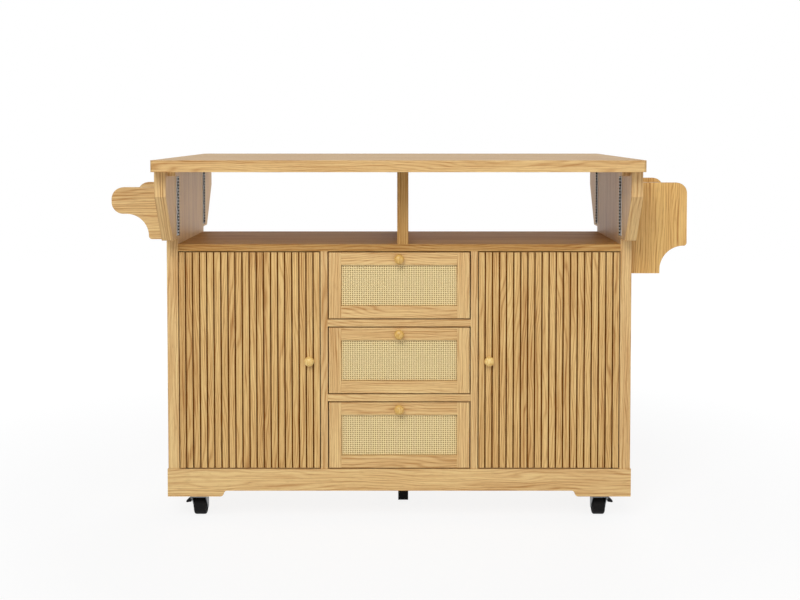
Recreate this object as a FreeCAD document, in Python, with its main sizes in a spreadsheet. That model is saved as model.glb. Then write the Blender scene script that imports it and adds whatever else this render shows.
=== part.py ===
import FreeCAD, Part

import math
import os
import re

import Sketcher

# Kitchen island unit on casters: a cabinet with two slatted doors and three drawers under an open
# bay, a worktop in three boards carried by four swing-out brackets, and a rack at each side.
# Frame: origin on the floor under the middle of the cabinet, +X to the right as seen from the
# front, +Y to the back, +Z up. The drawers and doors face -Y. All sizes are in millimetres.

SIZES = [
    ("cabinet_width", 1180, "over the side panels"),
    ("cabinet_depth", 400, "front plane to rear plane"),
    ("worktop_height", 930, "floor to the top of the worktop"),
    ("worktop_thick", 28, "all three boards"),
    ("board_overhang", 34, "fixed centre board beyond the cabinet, front and rear"),
    ("leaf_depth", 165, "each leaf, front to rear"),
    ("leaf_seam", 1, "between the centre board and a leaf"),
    ("leaf_corner", 10, "radius of the outer corners of a leaf"),
    ("side_thick", 28, "side panels, divider and brackets"),
    ("board_thick", 18, "inner boards and plinth"),
    ("back_thick", 12, "back panel"),
    ("shelf_height", 712, "top of the open shelf board"),
    ("floor_height", 136, "top of the bottom board"),
    ("divider_place", 9, "middle of the divider and the leg, to the right of the centre"),
    ("drawer_opening", 364, "between the partitions"),
    ("front_gap", 2.5, "around doors and drawer fronts"),
    ("front_thick", 20, "doors and drawer fronts"),
    ("plinth_proud", 2, "plinth beyond the cabinet on all sides"),
    ("plinth_lift", 80, "underside of the plinth boards"),
    ("foot_lift", 65, "underside of the corner feet"),
    ("foot_length", 134, "flat part of a corner foot"),
    ("foot_curve", 18, "run of the S-curve at the inner end of a foot"),
    ("leg_width", 27, "square leg under the middle"),
    ("slat_groove", 3.4, "width of a groove between two slats"),
    ("groove_depth", 4, "depth of a groove"),
    ("pivot_inset", 18, "door pivot from the hinge edge"),
    ("pivot_wall", 1, "wood between a groove and the door bush behind it"),
    ("pivot_radius", 2.5, "door pivot pin"),
    ("pivot_depth", 12, "pin inside the door"),
    ("pivot_washer", 1.5, "thickness of the foot of a pivot pin"),
    ("washer_radius", 6.5, "foot of a pivot pin"),
    ("bush_radius", 4, "outside of a door bush"),
    ("bush_length", 14, "door bush"),
    ("running_fit", 0.05, "radial clearance of pins, axles and kingpins"),
    ("frame_member", 32, "width of a stile or rail of a drawer front"),
    ("cane_setback", 6, "cane behind the face of its frame"),
    ("cane_thick", 2, "woven cane"),
    ("liner_thick", 3, "board behind the cane"),
    ("drawer_side", 12, "boards of a drawer box"),
    ("drawer_floor", 6, "bottom of a drawer box"),
    ("drawer_tall", 130, "height of a drawer box"),
    ("drawer_back_room", 16, "drawer box to the back panel"),
    ("drawer_lift", 14, "drawer box above the rail under it"),
    ("slide_room", 13, "between a drawer side and a partition"),
    ("slide_bar", 12, "height of a fixed runner"),
    ("slide_level", 50, "middle of a runner above the underside of the drawer box"),
    ("slide_fit", 0.3, "clearance between runner and slide"),
    ("slide_sheet", 1.2, "sheet of a slide member"),
    ("slide_lip_gap", 1.2, "flange of a slide member to the partition"),
    ("knob_radius", 12.5, "widest part of a knob"),
    ("knob_length", 25, "knob, face to top"),
    ("knob_foot", 8.25, "radius of the foot of a knob"),
    ("knob_waist", 6.5, "radius of the waist of a knob"),
    ("knob_waist_level", 8, "waist of a knob above its foot"),
    ("knob_head_level", 16, "widest part of a knob above its foot"),
    ("knob_foot_curve", 12.5, "radius of the curve from foot to waist"),
    ("knob_neck_curve", 9, "radius of the curve from waist to head"),
    ("knob_head_curve", 10.4, "radius of the curve of the head"),
    ("knob_cap", 7.5, "radius of the flatter cap of a knob"),
    ("knob_cap_drop", 2, "height of the cap of a knob"),
    ("knob_inset", 26, "door knob from the free edge"),
    ("loose_shelf_play", 1, "loose shelf to the panel at each end"),
    ("loose_shelf_height", 406, "underside of a loose shelf"),
    ("loose_shelf_setback", 36, "loose shelf behind the front plane"),
    ("shelf_pin_radius", 2.5, "shelf pin"),
    ("shelf_pin_length", 9, "shelf pin beyond its panel"),
    ("shelf_pin_inset", 45, "shelf pin from the end of the loose shelf"),
    ("bracket_length", 150, "along the leaf"),
    ("bracket_lift", 14.5, "underside of a bracket above the open shelf"),
    ("bracket_nose", 61, "upright end of a bracket"),
    ("bracket_foot", 62, "underside of a bracket"),
    ("bracket_round", 10, "rounded lower corner"),
    ("bracket_clearance", 0.5, "bracket to leaf and to cabinet"),
    ("block_thick", 17, "small block on a bracket, across"),
    ("block_length", 40, "small block, along the bracket"),
    ("block_tall", 12, "small block, height"),
    ("block_place", 78, "small block from the front plane"),
    ("hinge_drop", 17, "piano hinge below the top of the bracket"),
    ("hinge_rise", 8, "piano hinge above the underside of the bracket"),
    ("hinge_radius", 2.5, "knuckle of the piano hinge"),
    ("hinge_pin", 1, "radius of the hinge pin"),
    ("hinge_leaf", 12, "width of a hinge leaf"),
    ("hinge_sheet", 1, "thickness of a hinge leaf"),
    ("hinge_play", 0.4, "between two knuckles and from knuckle to wood"),
    ("strap_length", 60, "hinge under the worktop, along the seam"),
    ("strap_width", 46, "hinge under the worktop, across the seam"),
    ("strap_sheet", 1.5, "hinge under the worktop, sheet"),
    ("strap_barrel", 3, "radius of its barrel"),
    ("strap_spacing", 320, "between hinges along a seam"),
    ("caster_inset", 56, "kingpin from the side board of the plinth"),
    ("caster_setback", 30, "kingpin from the front or rear board of the plinth"),
    ("wheel_radius", 25, "caster wheel"),
    ("wheel_width", 32, "caster wheel"),
    ("tread_round", 5, "rounding of the tread of a wheel"),
    ("rim_width", 6, "rim of a wheel beside its dished side"),
    ("dish_depth", 2.9, "hollow side of a wheel"),
    ("hub_radius", 9, "hub of a wheel"),
    ("axle_radius", 4, "axle and kingpin"),
    ("caster_trail", 20, "axle from the kingpin"),
    ("fork_room", 1, "between wheel and fork arm"),
    ("fork_sheet", 2, "fork arm"),
    ("fork_eye", 9, "fork arm round the axle"),
    ("fork_flare", 2, "fork arm wider at the crown than at the axle"),
    ("crown_room", 3, "fork crown above the wheel"),
    ("crown_sheet", 4, "fork crown"),
    ("head_radius", 17, "swivel head"),
    ("head_tall", 14.7, "turning half of the head with the crown"),
    ("race_gap", 0.3, "between the two halves of the head"),
    ("race_tall", 5, "fixed half of the head"),
    ("plate_thick", 3, "caster plate"),
    ("plate_length", 60, "caster plate along X"),
    ("plate_width", 50, "caster plate along Y"),
    ("block_width", 70, "corner block over a caster"),
    ("brake_reach", 16, "brake pedal beyond its pin"),
    ("brake_drop", 12.5, "tip of the brake pedal below its pin"),
    ("brake_root", 2.8, "half thickness of the pedal at its pin"),
    ("brake_barrel", 3, "radius of the barrel of the pedal"),
    ("brake_width", 14.4, "brake pedal"),
    ("brake_pin", 1.5, "radius of the brake pin"),
    ("brake_out", 3.5, "brake pin outside the fork arm"),
    ("brake_height", 44, "brake pin above the floor"),
    ("rack_reach", 147, "end panels beyond the side panel"),
    ("rack_half", 165, "outer face of an end panel from the middle"),
    ("left_rack_drop", 47, "left rack below the worktop"),
    ("left_rack_tall", 133, "height of the left rack"),
    ("left_rack_foot", 44, "width of its underside"),
    ("left_nose_rise", 65, "underside of its nose above that of the rack"),
    ("left_nose_round", 30, "rounding of its nose"),
    ("left_foot_round", 8, "rounding of its lower corner"),
    ("roll_bar_radius", 12.5, "bar of the left rack"),
    ("roll_bar_inset", 33, "bar from the tip of the nose"),
    ("right_rack_drop", 35, "right rack below the worktop"),
    ("right_rack_tall", 233, "height of the right rack"),
    ("right_rack_foot", 78, "width of its underside"),
    ("right_nose_rise", 71, "underside of its outer part above that of the rack"),
    ("right_top_round", 27, "rounding of its top corner"),
    ("right_low_round", 8, "rounding of its outer lower corner"),
    ("rest_slat_drop", 11, "rest slats below the top of the rack"),
    ("rest_slat_width", 22, "rest slat"),
    ("rest_slat_gap", 8, "between two rest slats"),
    ("rack_shelf_rise", 86, "rack shelf above the underside of the rack"),
    ("guard_tall", 70, "guard in front of the rack shelf"),
    ("hanging_bar_radius", 8, "bar of the right rack"),
    ("hanging_bar_out", 40, "bar from the side panel"),
    ("hanging_bar_rise", 21, "bar above the underside of the rack"),
    ("rack_board_margin", 2, "mounting board from the edges of the end panels"),
]

SLATS = 20
KNUCKLES = 11
REST_SLATS = 4
STRAPS_PER_SEAM = 3
DRAWERS = ("bottom", "middle", "top")
# Corners of a brake pedal, as shares of its reach and its drop.
PEDAL_CORNERS = ((0.14, 0.86), (0.9, 1), (1, 0.76), (0.66, 0.3))

doc = FreeCAD.newDocument("KitchenIsland")
sheet = doc.addObject("Spreadsheet::Sheet", "Sizes")
for row, (alias, number, note) in enumerate(SIZES, start=1):
    sheet.set(f"A{row}", alias)
    sheet.set(f"B{row}", str(number))
    sheet.set(f"C{row}", note)
    sheet.setAlias(f"B{row}", alias)
doc.recompute()

# Places worked out from the sheet. Each is the text of an expression.
HALF_WIDTH = "(cabinet_width / 2)"
HALF_DEPTH = "(cabinet_depth / 2)"
SIDE_INNER = f"({HALF_WIDTH} - side_thick)"
UNDER_TOP = "(worktop_height - worktop_thick)"
SHELF_LOW = "(shelf_height - board_thick)"
BOTTOM_LOW = "(floor_height - board_thick)"
OPENING_HALF = "(drawer_opening / 2)"
PARTITION_OUTER = f"({OPENING_HALF} + board_thick)"
BACK_FACE = f"({HALF_DEPTH} - back_thick)"
FRONT_BACK = f"({HALF_DEPTH} - front_thick)"
PLINTH_X = f"({HALF_WIDTH} + plinth_proud)"
PLINTH_Y = f"({HALF_DEPTH} + plinth_proud)"
SEAM_Y = f"({HALF_DEPTH} + board_overhang)"
LEAF_EDGE_Y = f"({SEAM_Y} + leaf_seam + leaf_depth)"
DRAWER_BAY = f"(({SHELF_LOW} - floor_height - {len(DRAWERS) - 1} * board_thick) / {len(DRAWERS)})"
DRAWER_HALF = f"({OPENING_HALF} - slide_room)"
BOX_BEHIND = f"(-{FRONT_BACK} + drawer_side)"
BOX_REAR = f"({BACK_FACE} - drawer_back_room)"
PIVOT_Y = f"(-{HALF_DEPTH} + groove_depth + pivot_wall + bush_radius)"
BRACKET_TOP = f"({UNDER_TOP} - bracket_clearance)"
BRACKET_LOW = "(shelf_height + bracket_lift)"
HINGE_TOP = f"({BRACKET_TOP} - hinge_drop)"
HINGE_LOW = f"({BRACKET_LOW} + hinge_rise)"
HINGE_LENGTH = f"({HINGE_TOP} - {HINGE_LOW})"
HINGE_AXIS_X = f"({SIDE_INNER} - hinge_radius - hinge_play / 2)"
CASTER_X = f"({PLINTH_X} - board_thick - caster_inset)"
CASTER_Y = f"({PLINTH_Y} - board_thick - caster_setback)"
FORK_OUTER = "(wheel_width / 2 + fork_room + fork_sheet)"
CROWN_LOW = "(2 * wheel_radius + crown_room)"
HEAD_TOP = f"({CROWN_LOW} + head_tall)"
RACE_LOW = f"({HEAD_TOP} + race_gap)"
PLATE_LOW = f"({RACE_LOW} + race_tall)"
RACK_END_X = f"({HALF_WIDTH} + rack_reach)"
RACK_INNER_Y = "(rack_half - board_thick)"
LEFT_RACK_TOP = f"({UNDER_TOP} - left_rack_drop)"
LEFT_RACK_LOW = f"({LEFT_RACK_TOP} - left_rack_tall)"
LEFT_NOSE_LOW = f"({LEFT_RACK_LOW} + left_nose_rise)"
RIGHT_RACK_TOP = f"({UNDER_TOP} - right_rack_drop)"
RIGHT_RACK_LOW = f"({RIGHT_RACK_TOP} - right_rack_tall)"
RIGHT_NOSE_LOW = f"({RIGHT_RACK_LOW} + right_nose_rise)"
RACK_SHELF_LOW = f"({RIGHT_RACK_LOW} + rack_shelf_rise)"


def bind(text):
    """The expression with each size name pointing at the sheet. Size names hold an underscore."""
    return re.sub(r"[a-z]+(?:_[a-z]+)+", r"Sizes.\g<0>", text)


def number(text):
    """What an expression is worth now."""
    return float(sheet.evalExpression(bind(text)))


def mirrored(side, low, high):
    """A stretch from low to high on the plus side, or its mirror image on the minus side."""
    return (low, high) if side > 0 else (f"-({high})", f"-({low})")


def signed(side, text):
    """A place on the plus side, or its mirror image."""
    return text if side > 0 else f"-({text})"


def put(thing, place):
    """Tie the origin of a thing to three expressions."""
    for axis, text in zip("xyz", place):
        thing.setExpression(f"Placement.Base.{axis}", bind(text))


def board(label, x, y, z):
    """A rectangular board. Each of x, y and z is its (low, high)."""
    box = doc.addObject("Part::Box", label)
    for side, (low, high) in zip(("Length", "Width", "Height"), (x, y, z)):
        box.setExpression(side, bind(f"({high}) - ({low})"))
    put(box, (x[0], y[0], z[0]))
    return box


TURNS = {
    "x": FreeCAD.Rotation(FreeCAD.Vector(0, 1, 0), 90),
    "y": FreeCAD.Rotation(FreeCAD.Vector(1, 0, 0), -90),
    "z": FreeCAD.Rotation(),
}


def rod(label, axis, radius, start, length):
    """A round bar from start along +axis."""
    cylinder = doc.addObject("Part::Cylinder", label)
    cylinder.Placement = FreeCAD.Placement(FreeCAD.Vector(), TURNS[axis])
    cylinder.setExpression("Radius", bind(radius))
    cylinder.setExpression("Height", bind(length))
    put(cylinder, start)
    return cylinder


def group(label, members):
    """Separate solids that share one node."""
    compound = doc.addObject("Part::Compound", label)
    compound.Links = members
    return compound


def joined(label, members):
    """One solid made of overlapping members."""
    fuse = doc.addObject("Part::MultiFuse", label)
    fuse.Shapes = members
    fuse.Refine = True
    return fuse


def bored(label, base, tool):
    """A solid with the tool taken out."""
    cut = doc.addObject("Part::Cut", label)
    cut.Base = base
    cut.Tool = tool
    return cut


def add_edge(sketch, start, end, bend):
    """A line from start to end, or an arc of the given radius, anticlockwise if the turn is +1."""
    p = FreeCAD.Vector(*start, 0)
    q = FreeCAD.Vector(*end, 0)
    if bend is None:
        return sketch.addGeometry(Part.LineSegment(p, q)), False
    radius, turn = bend
    chord = q - p
    left = FreeCAD.Vector(-chord.y, chord.x, 0).normalize()
    rise = math.sqrt(max(radius ** 2 - (chord.Length / 2) ** 2, 0))
    centre = (p + q) * 0.5 + left * rise * turn
    first, last = (p, q) if turn > 0 else (q, p)
    angles = [math.atan2(corner.y - centre.y, corner.x - centre.x) for corner in (first, last)]
    if angles[1] <= angles[0]:
        angles[1] += 2 * math.pi
    circle = Part.Circle(centre, FreeCAD.Vector(0, 0, 1), radius)
    return sketch.addGeometry(Part.ArcOfCircle(circle, *angles)), turn < 0


def sketch_outline(body, role, outline):
    """A closed outline on a plane of the body.

    Each corner is (across, up), followed by (radius, turn) where an arc leads to the next corner.
    Corners are held at their two expressions and arcs by their radius.
    """
    sketch = body.newObject("Sketcher::SketchObject", f"{body.Name}_outline")
    plane = next(item for item in body.Origin.OriginFeatures if item.Role == role)
    sketch.AttachmentSupport = (plane, "")
    sketch.MapMode = "FlatFace"
    corners = [(number(corner[0]), number(corner[1])) for corner in outline]
    edges = []
    for index, corner in enumerate(outline):
        bend = (number(corner[2]), corner[3]) if len(corner) == 4 else None
        following = corners[(index + 1) % len(corners)]
        edges.append(add_edge(sketch, corners[index], following, bend))

    def hold(kind, text, *ends):
        value = number(text)
        index = sketch.addConstraint(Sketcher.Constraint(kind, *ends, value))
        sketch.setExpression(f"Constraints[{index}]", bind(text))

    for index, (edge, backwards) in enumerate(edges):
        following, following_backwards = edges[(index + 1) % len(edges)]
        ends = (edge, 1 if backwards else 2, following, 2 if following_backwards else 1)
        sketch.addConstraint(Sketcher.Constraint("Coincident", *ends))
        start = 2 if backwards else 1
        hold("DistanceX", outline[index][0], -1, 1, edge, start)
        hold("DistanceY", outline[index][1], -1, 1, edge, start)
        if len(outline[index]) == 4:
            hold("Radius", outline[index][2], edge)
    return sketch


def plate(label, role, outline, thickness, place):
    """A flat piece with the given outline, thick towards +X, -Y or +Z from its sketch plane."""
    body = doc.addObject("PartDesign::Body", label)
    sketch = sketch_outline(body, role, outline)
    pad = body.newObject("PartDesign::Pad", f"{label}_pad")
    pad.Profile = sketch
    pad.setExpression("Length", bind(thickness))
    put(body, place)
    return body


def turned(label, outline, axis, place, turn=None):
    """A turned piece. The outline lies in the XY plane, and axis is H_Axis (X) or V_Axis (Y)."""
    body = doc.addObject("PartDesign::Body", label)
    sketch = sketch_outline(body, "XY_Plane", outline)
    revolution = body.newObject("PartDesign::Revolution", f"{label}_turning")
    revolution.Profile = sketch
    revolution.ReferenceAxis = (sketch, [axis])
    revolution.Angle = 360
    if turn is not None:
        body.Placement = FreeCAD.Placement(FreeCAD.Vector(), turn)
    put(body, place)
    return body


def flipped(side, outline):
    """The outline, or its mirror image across the upright axis."""
    if side > 0:
        return outline
    return [(f"-({corner[0]})", corner[1]) + mirror_bend(corner) for corner in outline]


def mirror_bend(corner):
    """The arc of a corner turned the other way round, or nothing where it has no arc."""
    return (corner[2], -corner[3]) if len(corner) == 4 else ()


nodes = []


def node(thing):
    """Keep a sub-part for the files."""
    nodes.append(thing)
    return thing


SIDES = (("left", -1), ("right", 1))
ENDS = (("front", -1), ("rear", 1))
FULL_DEPTH = mirrored(1, f"-{HALF_DEPTH}", HALF_DEPTH)
CARCASS_DEPTH = (f"-{HALF_DEPTH}", BACK_FACE)


def make_carcass():
    """Side panels, shelf, divider, partitions, rails, bottom and back."""
    for name, side in SIDES:
        wall = mirrored(side, SIDE_INNER, HALF_WIDTH)
        node(board(f"side_panel_{name}", wall, FULL_DEPTH, ("floor_height", UNDER_TOP)))
    inside = (f"-{SIDE_INNER}", SIDE_INNER)
    node(board("open_shelf_board", inside, FULL_DEPTH, (SHELF_LOW, "shelf_height")))
    divider = ("divider_place - side_thick / 2", "divider_place + side_thick / 2")
    node(board("open_shelf_divider", divider, FULL_DEPTH, ("shelf_height", UNDER_TOP)))
    upright = ("floor_height", SHELF_LOW)
    node(group("partitions", [
        board(f"partition_{name}", mirrored(side, OPENING_HALF, PARTITION_OUTER), CARCASS_DEPTH, upright)
        for name, side in SIDES
    ]))
    opening = (f"-{OPENING_HALF}", OPENING_HALF)
    rails = []
    for count in range(1, len(DRAWERS)):
        low = f"floor_height + {count} * {DRAWER_BAY} + {count - 1} * board_thick"
        rails.append(board(f"drawer_rail_{count}", opening, CARCASS_DEPTH, (low, f"{low} + board_thick")))
    node(group("drawer_rails", rails))
    plinth_inside = f"({PLINTH_X} - board_thick)"
    plinth_behind = f"({PLINTH_Y} - board_thick)"
    across = (f"-{plinth_inside}", plinth_inside)
    along = (f"-{plinth_behind}", plinth_behind)
    node(board("bottom_board", across, along, (BOTTOM_LOW, "floor_height")))
    node(board("back_panel", inside, (BACK_FACE, HALF_DEPTH), upright))


def make_worktop():
    """Fixed centre board, two leaves with rounded corners, and the hinges under the two seams."""
    across = (f"-{HALF_WIDTH}", HALF_WIDTH)
    level = (UNDER_TOP, "worktop_height")
    node(board("worktop_centre_board", across, (f"-{SEAM_Y}", SEAM_Y), level))
    for name, end in ENDS:
        seam = f"{SEAM_Y} + leaf_seam"
        round_x = f"{HALF_WIDTH} - leaf_corner"
        round_y = f"{LEAF_EDGE_Y} - leaf_corner"
        outline = [
            (f"-{HALF_WIDTH}", signed(end, seam)),
            (HALF_WIDTH, signed(end, seam)),
            (HALF_WIDTH, signed(end, round_y), "leaf_corner", end),
            (round_x, signed(end, LEAF_EDGE_Y)),
            (f"-({round_x})", signed(end, LEAF_EDGE_Y), "leaf_corner", end),
            (f"-{HALF_WIDTH}", signed(end, round_y)),
        ]
        place = ("0", "0", UNDER_TOP)
        node(plate(f"worktop_{name}_leaf", "XY_Plane", outline, "worktop_thick", place))
    hinges = []
    for name, end in ENDS:
        seam = signed(end, f"{SEAM_Y} + leaf_seam / 2")
        for index in range(STRAPS_PER_SEAM):
            middle = f"{index - (STRAPS_PER_SEAM - 1) / 2} * strap_spacing"
            label = f"seam_hinge_{name}_{index + 1}"
            strap = board(
                f"{label}_strap",
                (f"{middle} - strap_length / 2", f"{middle} + strap_length / 2"),
                (f"{seam} - strap_width / 2", f"{seam} + strap_width / 2"),
                (f"{UNDER_TOP} - strap_sheet", UNDER_TOP),
            )
            start = (f"{middle} - strap_length / 2", seam, f"{UNDER_TOP} - strap_barrel")
            barrel = rod(f"{label}_barrel", "x", "strap_barrel", start, "strap_length")
            hinges.append(joined(label, [strap, barrel]))
    node(group("worktop_seam_hinges", hinges))


def plinth_foot(label, side, place):
    """A corner foot of a long plinth board, with an S-curve at its inner end."""
    curve_end = f"({PLINTH_X} - foot_length - foot_curve)"
    flat_end = f"({PLINTH_X} - foot_length)"
    rise = "(plinth_lift - foot_lift)"
    radius = f"({rise}^2 + foot_curve^2) / (4 * {rise})"
    outline = [
        (curve_end, "plinth_lift", radius, -1),
        (f"{flat_end} - foot_curve / 2", f"foot_lift + {rise} / 2", radius, 1),
        (flat_end, "foot_lift"),
        (PLINTH_X, "foot_lift"),
        (PLINTH_X, "plinth_lift"),
    ]
    return plate(label, "XZ_Plane", flipped(side, outline), "board_thick", place)


def make_plinth():
    """Front and rear boards with feet at their ends, side boards between them, and the leg."""
    level = ("plinth_lift", "floor_height")
    across = (f"-{PLINTH_X}", PLINTH_X)
    for end_name, end in ENDS:
        wall = mirrored(end, f"{PLINTH_Y} - board_thick", PLINTH_Y)
        members = [board(f"plinth_{end_name}_rail", across, wall, level)]
        for name, side in SIDES:
            label = f"plinth_{end_name}_foot_{name}"
            members.append(plinth_foot(label, side, ("0", wall[1], "0")))
        node(group(f"plinth_{end_name}_board", members))
    inner = f"({PLINTH_Y} - board_thick)"
    along = (f"-{inner}", inner)
    node(group("plinth_side_boards", [
        board(f"plinth_side_{name}", mirrored(side, f"{PLINTH_X} - board_thick", PLINTH_X), along, level)
        for name, side in SIDES
    ]))
    leg_x = ("divider_place - leg_width / 2", "divider_place + leg_width / 2")
    node(board("centre_leg", leg_x, ("-leg_width / 2", "leg_width / 2"), ("0", BOTTOM_LOW)))


def knob_outline():
    """Half section of a knob: foot, waist and domed head. Across is the radius."""
    return [
        ("0", "0"),
        ("knob_foot", "0", "knob_foot_curve", -1),
        ("knob_waist", "knob_waist_level", "knob_neck_curve", -1),
        ("knob_radius", "knob_head_level", "knob_head_curve", 1),
        (
            "knob_cap", "knob_length - knob_cap_drop",
            "(knob_cap^2 + knob_cap_drop^2) / (2 * knob_cap_drop)", 1,
        ),
        ("0", "knob_length"),
    ]


def knob(label, place):
    """A round knob that stands on the front plane."""
    facing = FreeCAD.Rotation(FreeCAD.Vector(0, 0, 1), 180)
    return node(turned(label, knob_outline(), "V_Axis", place, facing))


def make_door(name, side):
    """A slatted door with its bushes and knob. It turns on pins near its outer edge."""
    outer = f"({SIDE_INNER} - front_gap)"
    inner = f"({PARTITION_OUTER} + front_gap)"
    low = "(floor_height + front_gap)"
    high = f"({SHELF_LOW} - front_gap)"
    left = inner if side > 0 else f"-{outer}"
    width = f"({outer} - {inner})"
    label = f"door_{name}"
    body = doc.addObject("PartDesign::Body", f"{label}_boards")
    outline = [
        ("0", "0"),
        (width, "0"),
        (width, "front_thick"),
        ("0", "front_thick"),
    ]
    pad = body.newObject("PartDesign::Pad", f"{label}_panel")
    pad.Profile = sketch_outline(body, "XY_Plane", outline)
    pad.setExpression("Length", bind(f"{high} - {low}"))
    doc.recompute()
    pitch = f"(({width} + slat_groove) / {SLATS})"
    groove_left = f"({pitch} - slat_groove)"
    groove = [
        (groove_left, "-groove_depth"),
        (pitch, "-groove_depth"),
        (pitch, "groove_depth"),
        (groove_left, "groove_depth"),
    ]
    pocket = body.newObject("PartDesign::Pocket", f"{label}_groove")
    pocket.Profile = sketch_outline(body, "XY_Plane", groove)
    pocket.Reversed = True
    pocket.setExpression("Length", bind(f"{high} - {low}"))
    doc.recompute()
    pattern = body.newObject("PartDesign::LinearPattern", f"{label}_grooves")
    pattern.Originals = [pocket]
    pattern.Direction = (pad.Profile[0], ["H_Axis"])
    pattern.setExpression("Length", bind(f"{pitch} * {SLATS - 2}"))
    pattern.Occurrences = SLATS - 1
    body.Tip = pattern
    put(body, (left, f"-{HALF_DEPTH}", low))
    pivot_x = signed(side, f"{outer} - pivot_inset")
    holes = []
    bushes = []
    for place, start in (("low", low), ("high", f"{high} - bush_length")):
        centre = (pivot_x, PIVOT_Y, start)
        holes.append(rod(f"{label}_hole_{place}", "z", "bush_radius", centre, "bush_length"))
        blank = rod(f"{label}_bush_blank_{place}", "z", "bush_radius", centre, "bush_length")
        bore = rod(f"{label}_bush_bore_{place}", "z", "pivot_radius + running_fit", centre, "bush_length")
        bushes.append(bored(f"{label}_bush_{place}", blank, bore))
    panel = bored(f"{label}_drilled", body, group(f"{label}_holes", holes))
    node(group(label, [panel] + bushes))
    knob(f"{label}_knob", (signed(side, f"{inner} + knob_inset"), f"-{HALF_DEPTH}", f"({low} + {high}) / 2"))


def make_door_pins():
    """Pins that stand on the bottom board and hang from the shelf board, each on a round foot."""
    pins = []
    for name, side in SIDES:
        x = signed(side, f"{SIDE_INNER} - front_gap - pivot_inset")
        pin_low = f"{SHELF_LOW} - front_gap - pivot_depth"
        for place, foot, start in (
            ("low", "floor_height", "floor_height"),
            ("high", f"{SHELF_LOW} - pivot_washer", pin_low),
        ):
            label = f"door_pin_{name}_{place}"
            washer = rod(f"{label}_foot", "z", "washer_radius", (x, PIVOT_Y, foot), "pivot_washer")
            base = (x, PIVOT_Y, start)
            shank = rod(f"{label}_shank", "z", "pivot_radius", base, "front_gap + pivot_depth")
            pins.append(joined(label, [washer, shank]))
    node(group("door_pivot_pins", pins))


def make_drawer(name, index):
    """Front frame with its cane panel and knob, the box behind it and the slides on the box."""
    bay_low = f"(floor_height + {index} * ({DRAWER_BAY} + board_thick))"
    low = f"({bay_low} + front_gap)"
    high = f"({bay_low} + {DRAWER_BAY} - front_gap)"
    edge = f"({OPENING_HALF} - front_gap)"
    window = f"({edge} - frame_member)"
    face = (f"-{HALF_DEPTH}", f"-{FRONT_BACK}")
    label = f"drawer_{name}"
    frame = [
        board(f"{label}_stile_{side_name}", mirrored(side, window, edge), face, (low, high))
        for side_name, side in SIDES
    ]
    for rail, level in (
        ("low", (low, f"{low} + frame_member")),
        ("high", (f"{high} - frame_member", high)),
    ):
        frame.append(board(f"{label}_rail_{rail}", (f"-{window}", window), face, level))
    node(group(f"{label}_front_frame", frame))
    cane_face = f"(-{HALF_DEPTH} + cane_setback)"
    glazed = (f"{low} + frame_member", f"{high} - frame_member")
    cane = (cane_face, f"{cane_face} + cane_thick")
    liner = (cane[1], f"{cane[1]} + liner_thick")
    node(group(f"{label}_cane_panel", [
        board(f"{label}_cane", (f"-{window}", window), cane, glazed),
        board(f"{label}_liner", (f"-{window}", window), liner, glazed),
    ]))
    make_drawer_box(label, f"({bay_low} + drawer_lift)")
    knob(f"{label}_knob", ("0", f"-{HALF_DEPTH}", f"{high} - frame_member / 2"))


def make_drawer_box(label, low):
    """Inner front, two sides, back and bottom, with a slide that hooks over the runner each side."""
    inner = f"({DRAWER_HALF} - drawer_side)"
    front = f"-{FRONT_BACK}"
    back = f"({BOX_REAR} - drawer_side)"
    along = (BOX_BEHIND, BOX_REAR)
    level = (low, f"{low} + drawer_tall")
    whole = (f"-{DRAWER_HALF}", DRAWER_HALF)
    between = (f"-{inner}", inner)
    members = [
        board(f"{label}_inner_front", whole, (front, BOX_BEHIND), level),
        board(f"{label}_back", between, (back, BOX_REAR), level),
        board(f"{label}_bottom", between, (BOX_BEHIND, back), (low, f"{low} + drawer_floor")),
    ]
    middle = f"({low} + slide_level)"
    reach = "(slide_bar / 2 + slide_fit)"
    lip = f"({OPENING_HALF} - slide_lip_gap)"
    for name, side in SIDES:
        wall = mirrored(side, inner, DRAWER_HALF)
        members.append(board(f"{label}_side_{name}", wall, along, level))
        sheet_x = mirrored(side, DRAWER_HALF, f"{DRAWER_HALF} + slide_sheet")
        flange_x = mirrored(side, DRAWER_HALF, lip)
        top = f"({middle} + {reach})"
        under = f"({middle} - {reach})"
        members.append(joined(f"{label}_slide_{name}", [
            board(f"{label}_slide_{name}_web", sheet_x, along, (under, top)),
            board(f"{label}_slide_{name}_upper", flange_x, along, (top, f"{top} + slide_sheet")),
            board(f"{label}_slide_{name}_lower", flange_x, along, (f"{under} - slide_sheet", under)),
        ]))
    node(group(f"{label}_box", members))


def make_runners():
    """Fixed bars on the partitions that carry the slides of the drawers."""
    bars = []
    for index in range(len(DRAWERS)):
        bay_low = f"(floor_height + {index} * ({DRAWER_BAY} + board_thick))"
        middle = f"({bay_low} + drawer_lift + slide_level)"
        for name, side in SIDES:
            across = mirrored(side, f"{DRAWER_HALF} + slide_sheet + slide_fit", OPENING_HALF)
            level = (f"{middle} - slide_bar / 2", f"{middle} + slide_bar / 2")
            bars.append(board(f"runner_{name}_{index + 1}", across, (BOX_BEHIND, BOX_REAR), level))
    node(group("drawer_runners", bars))


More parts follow.
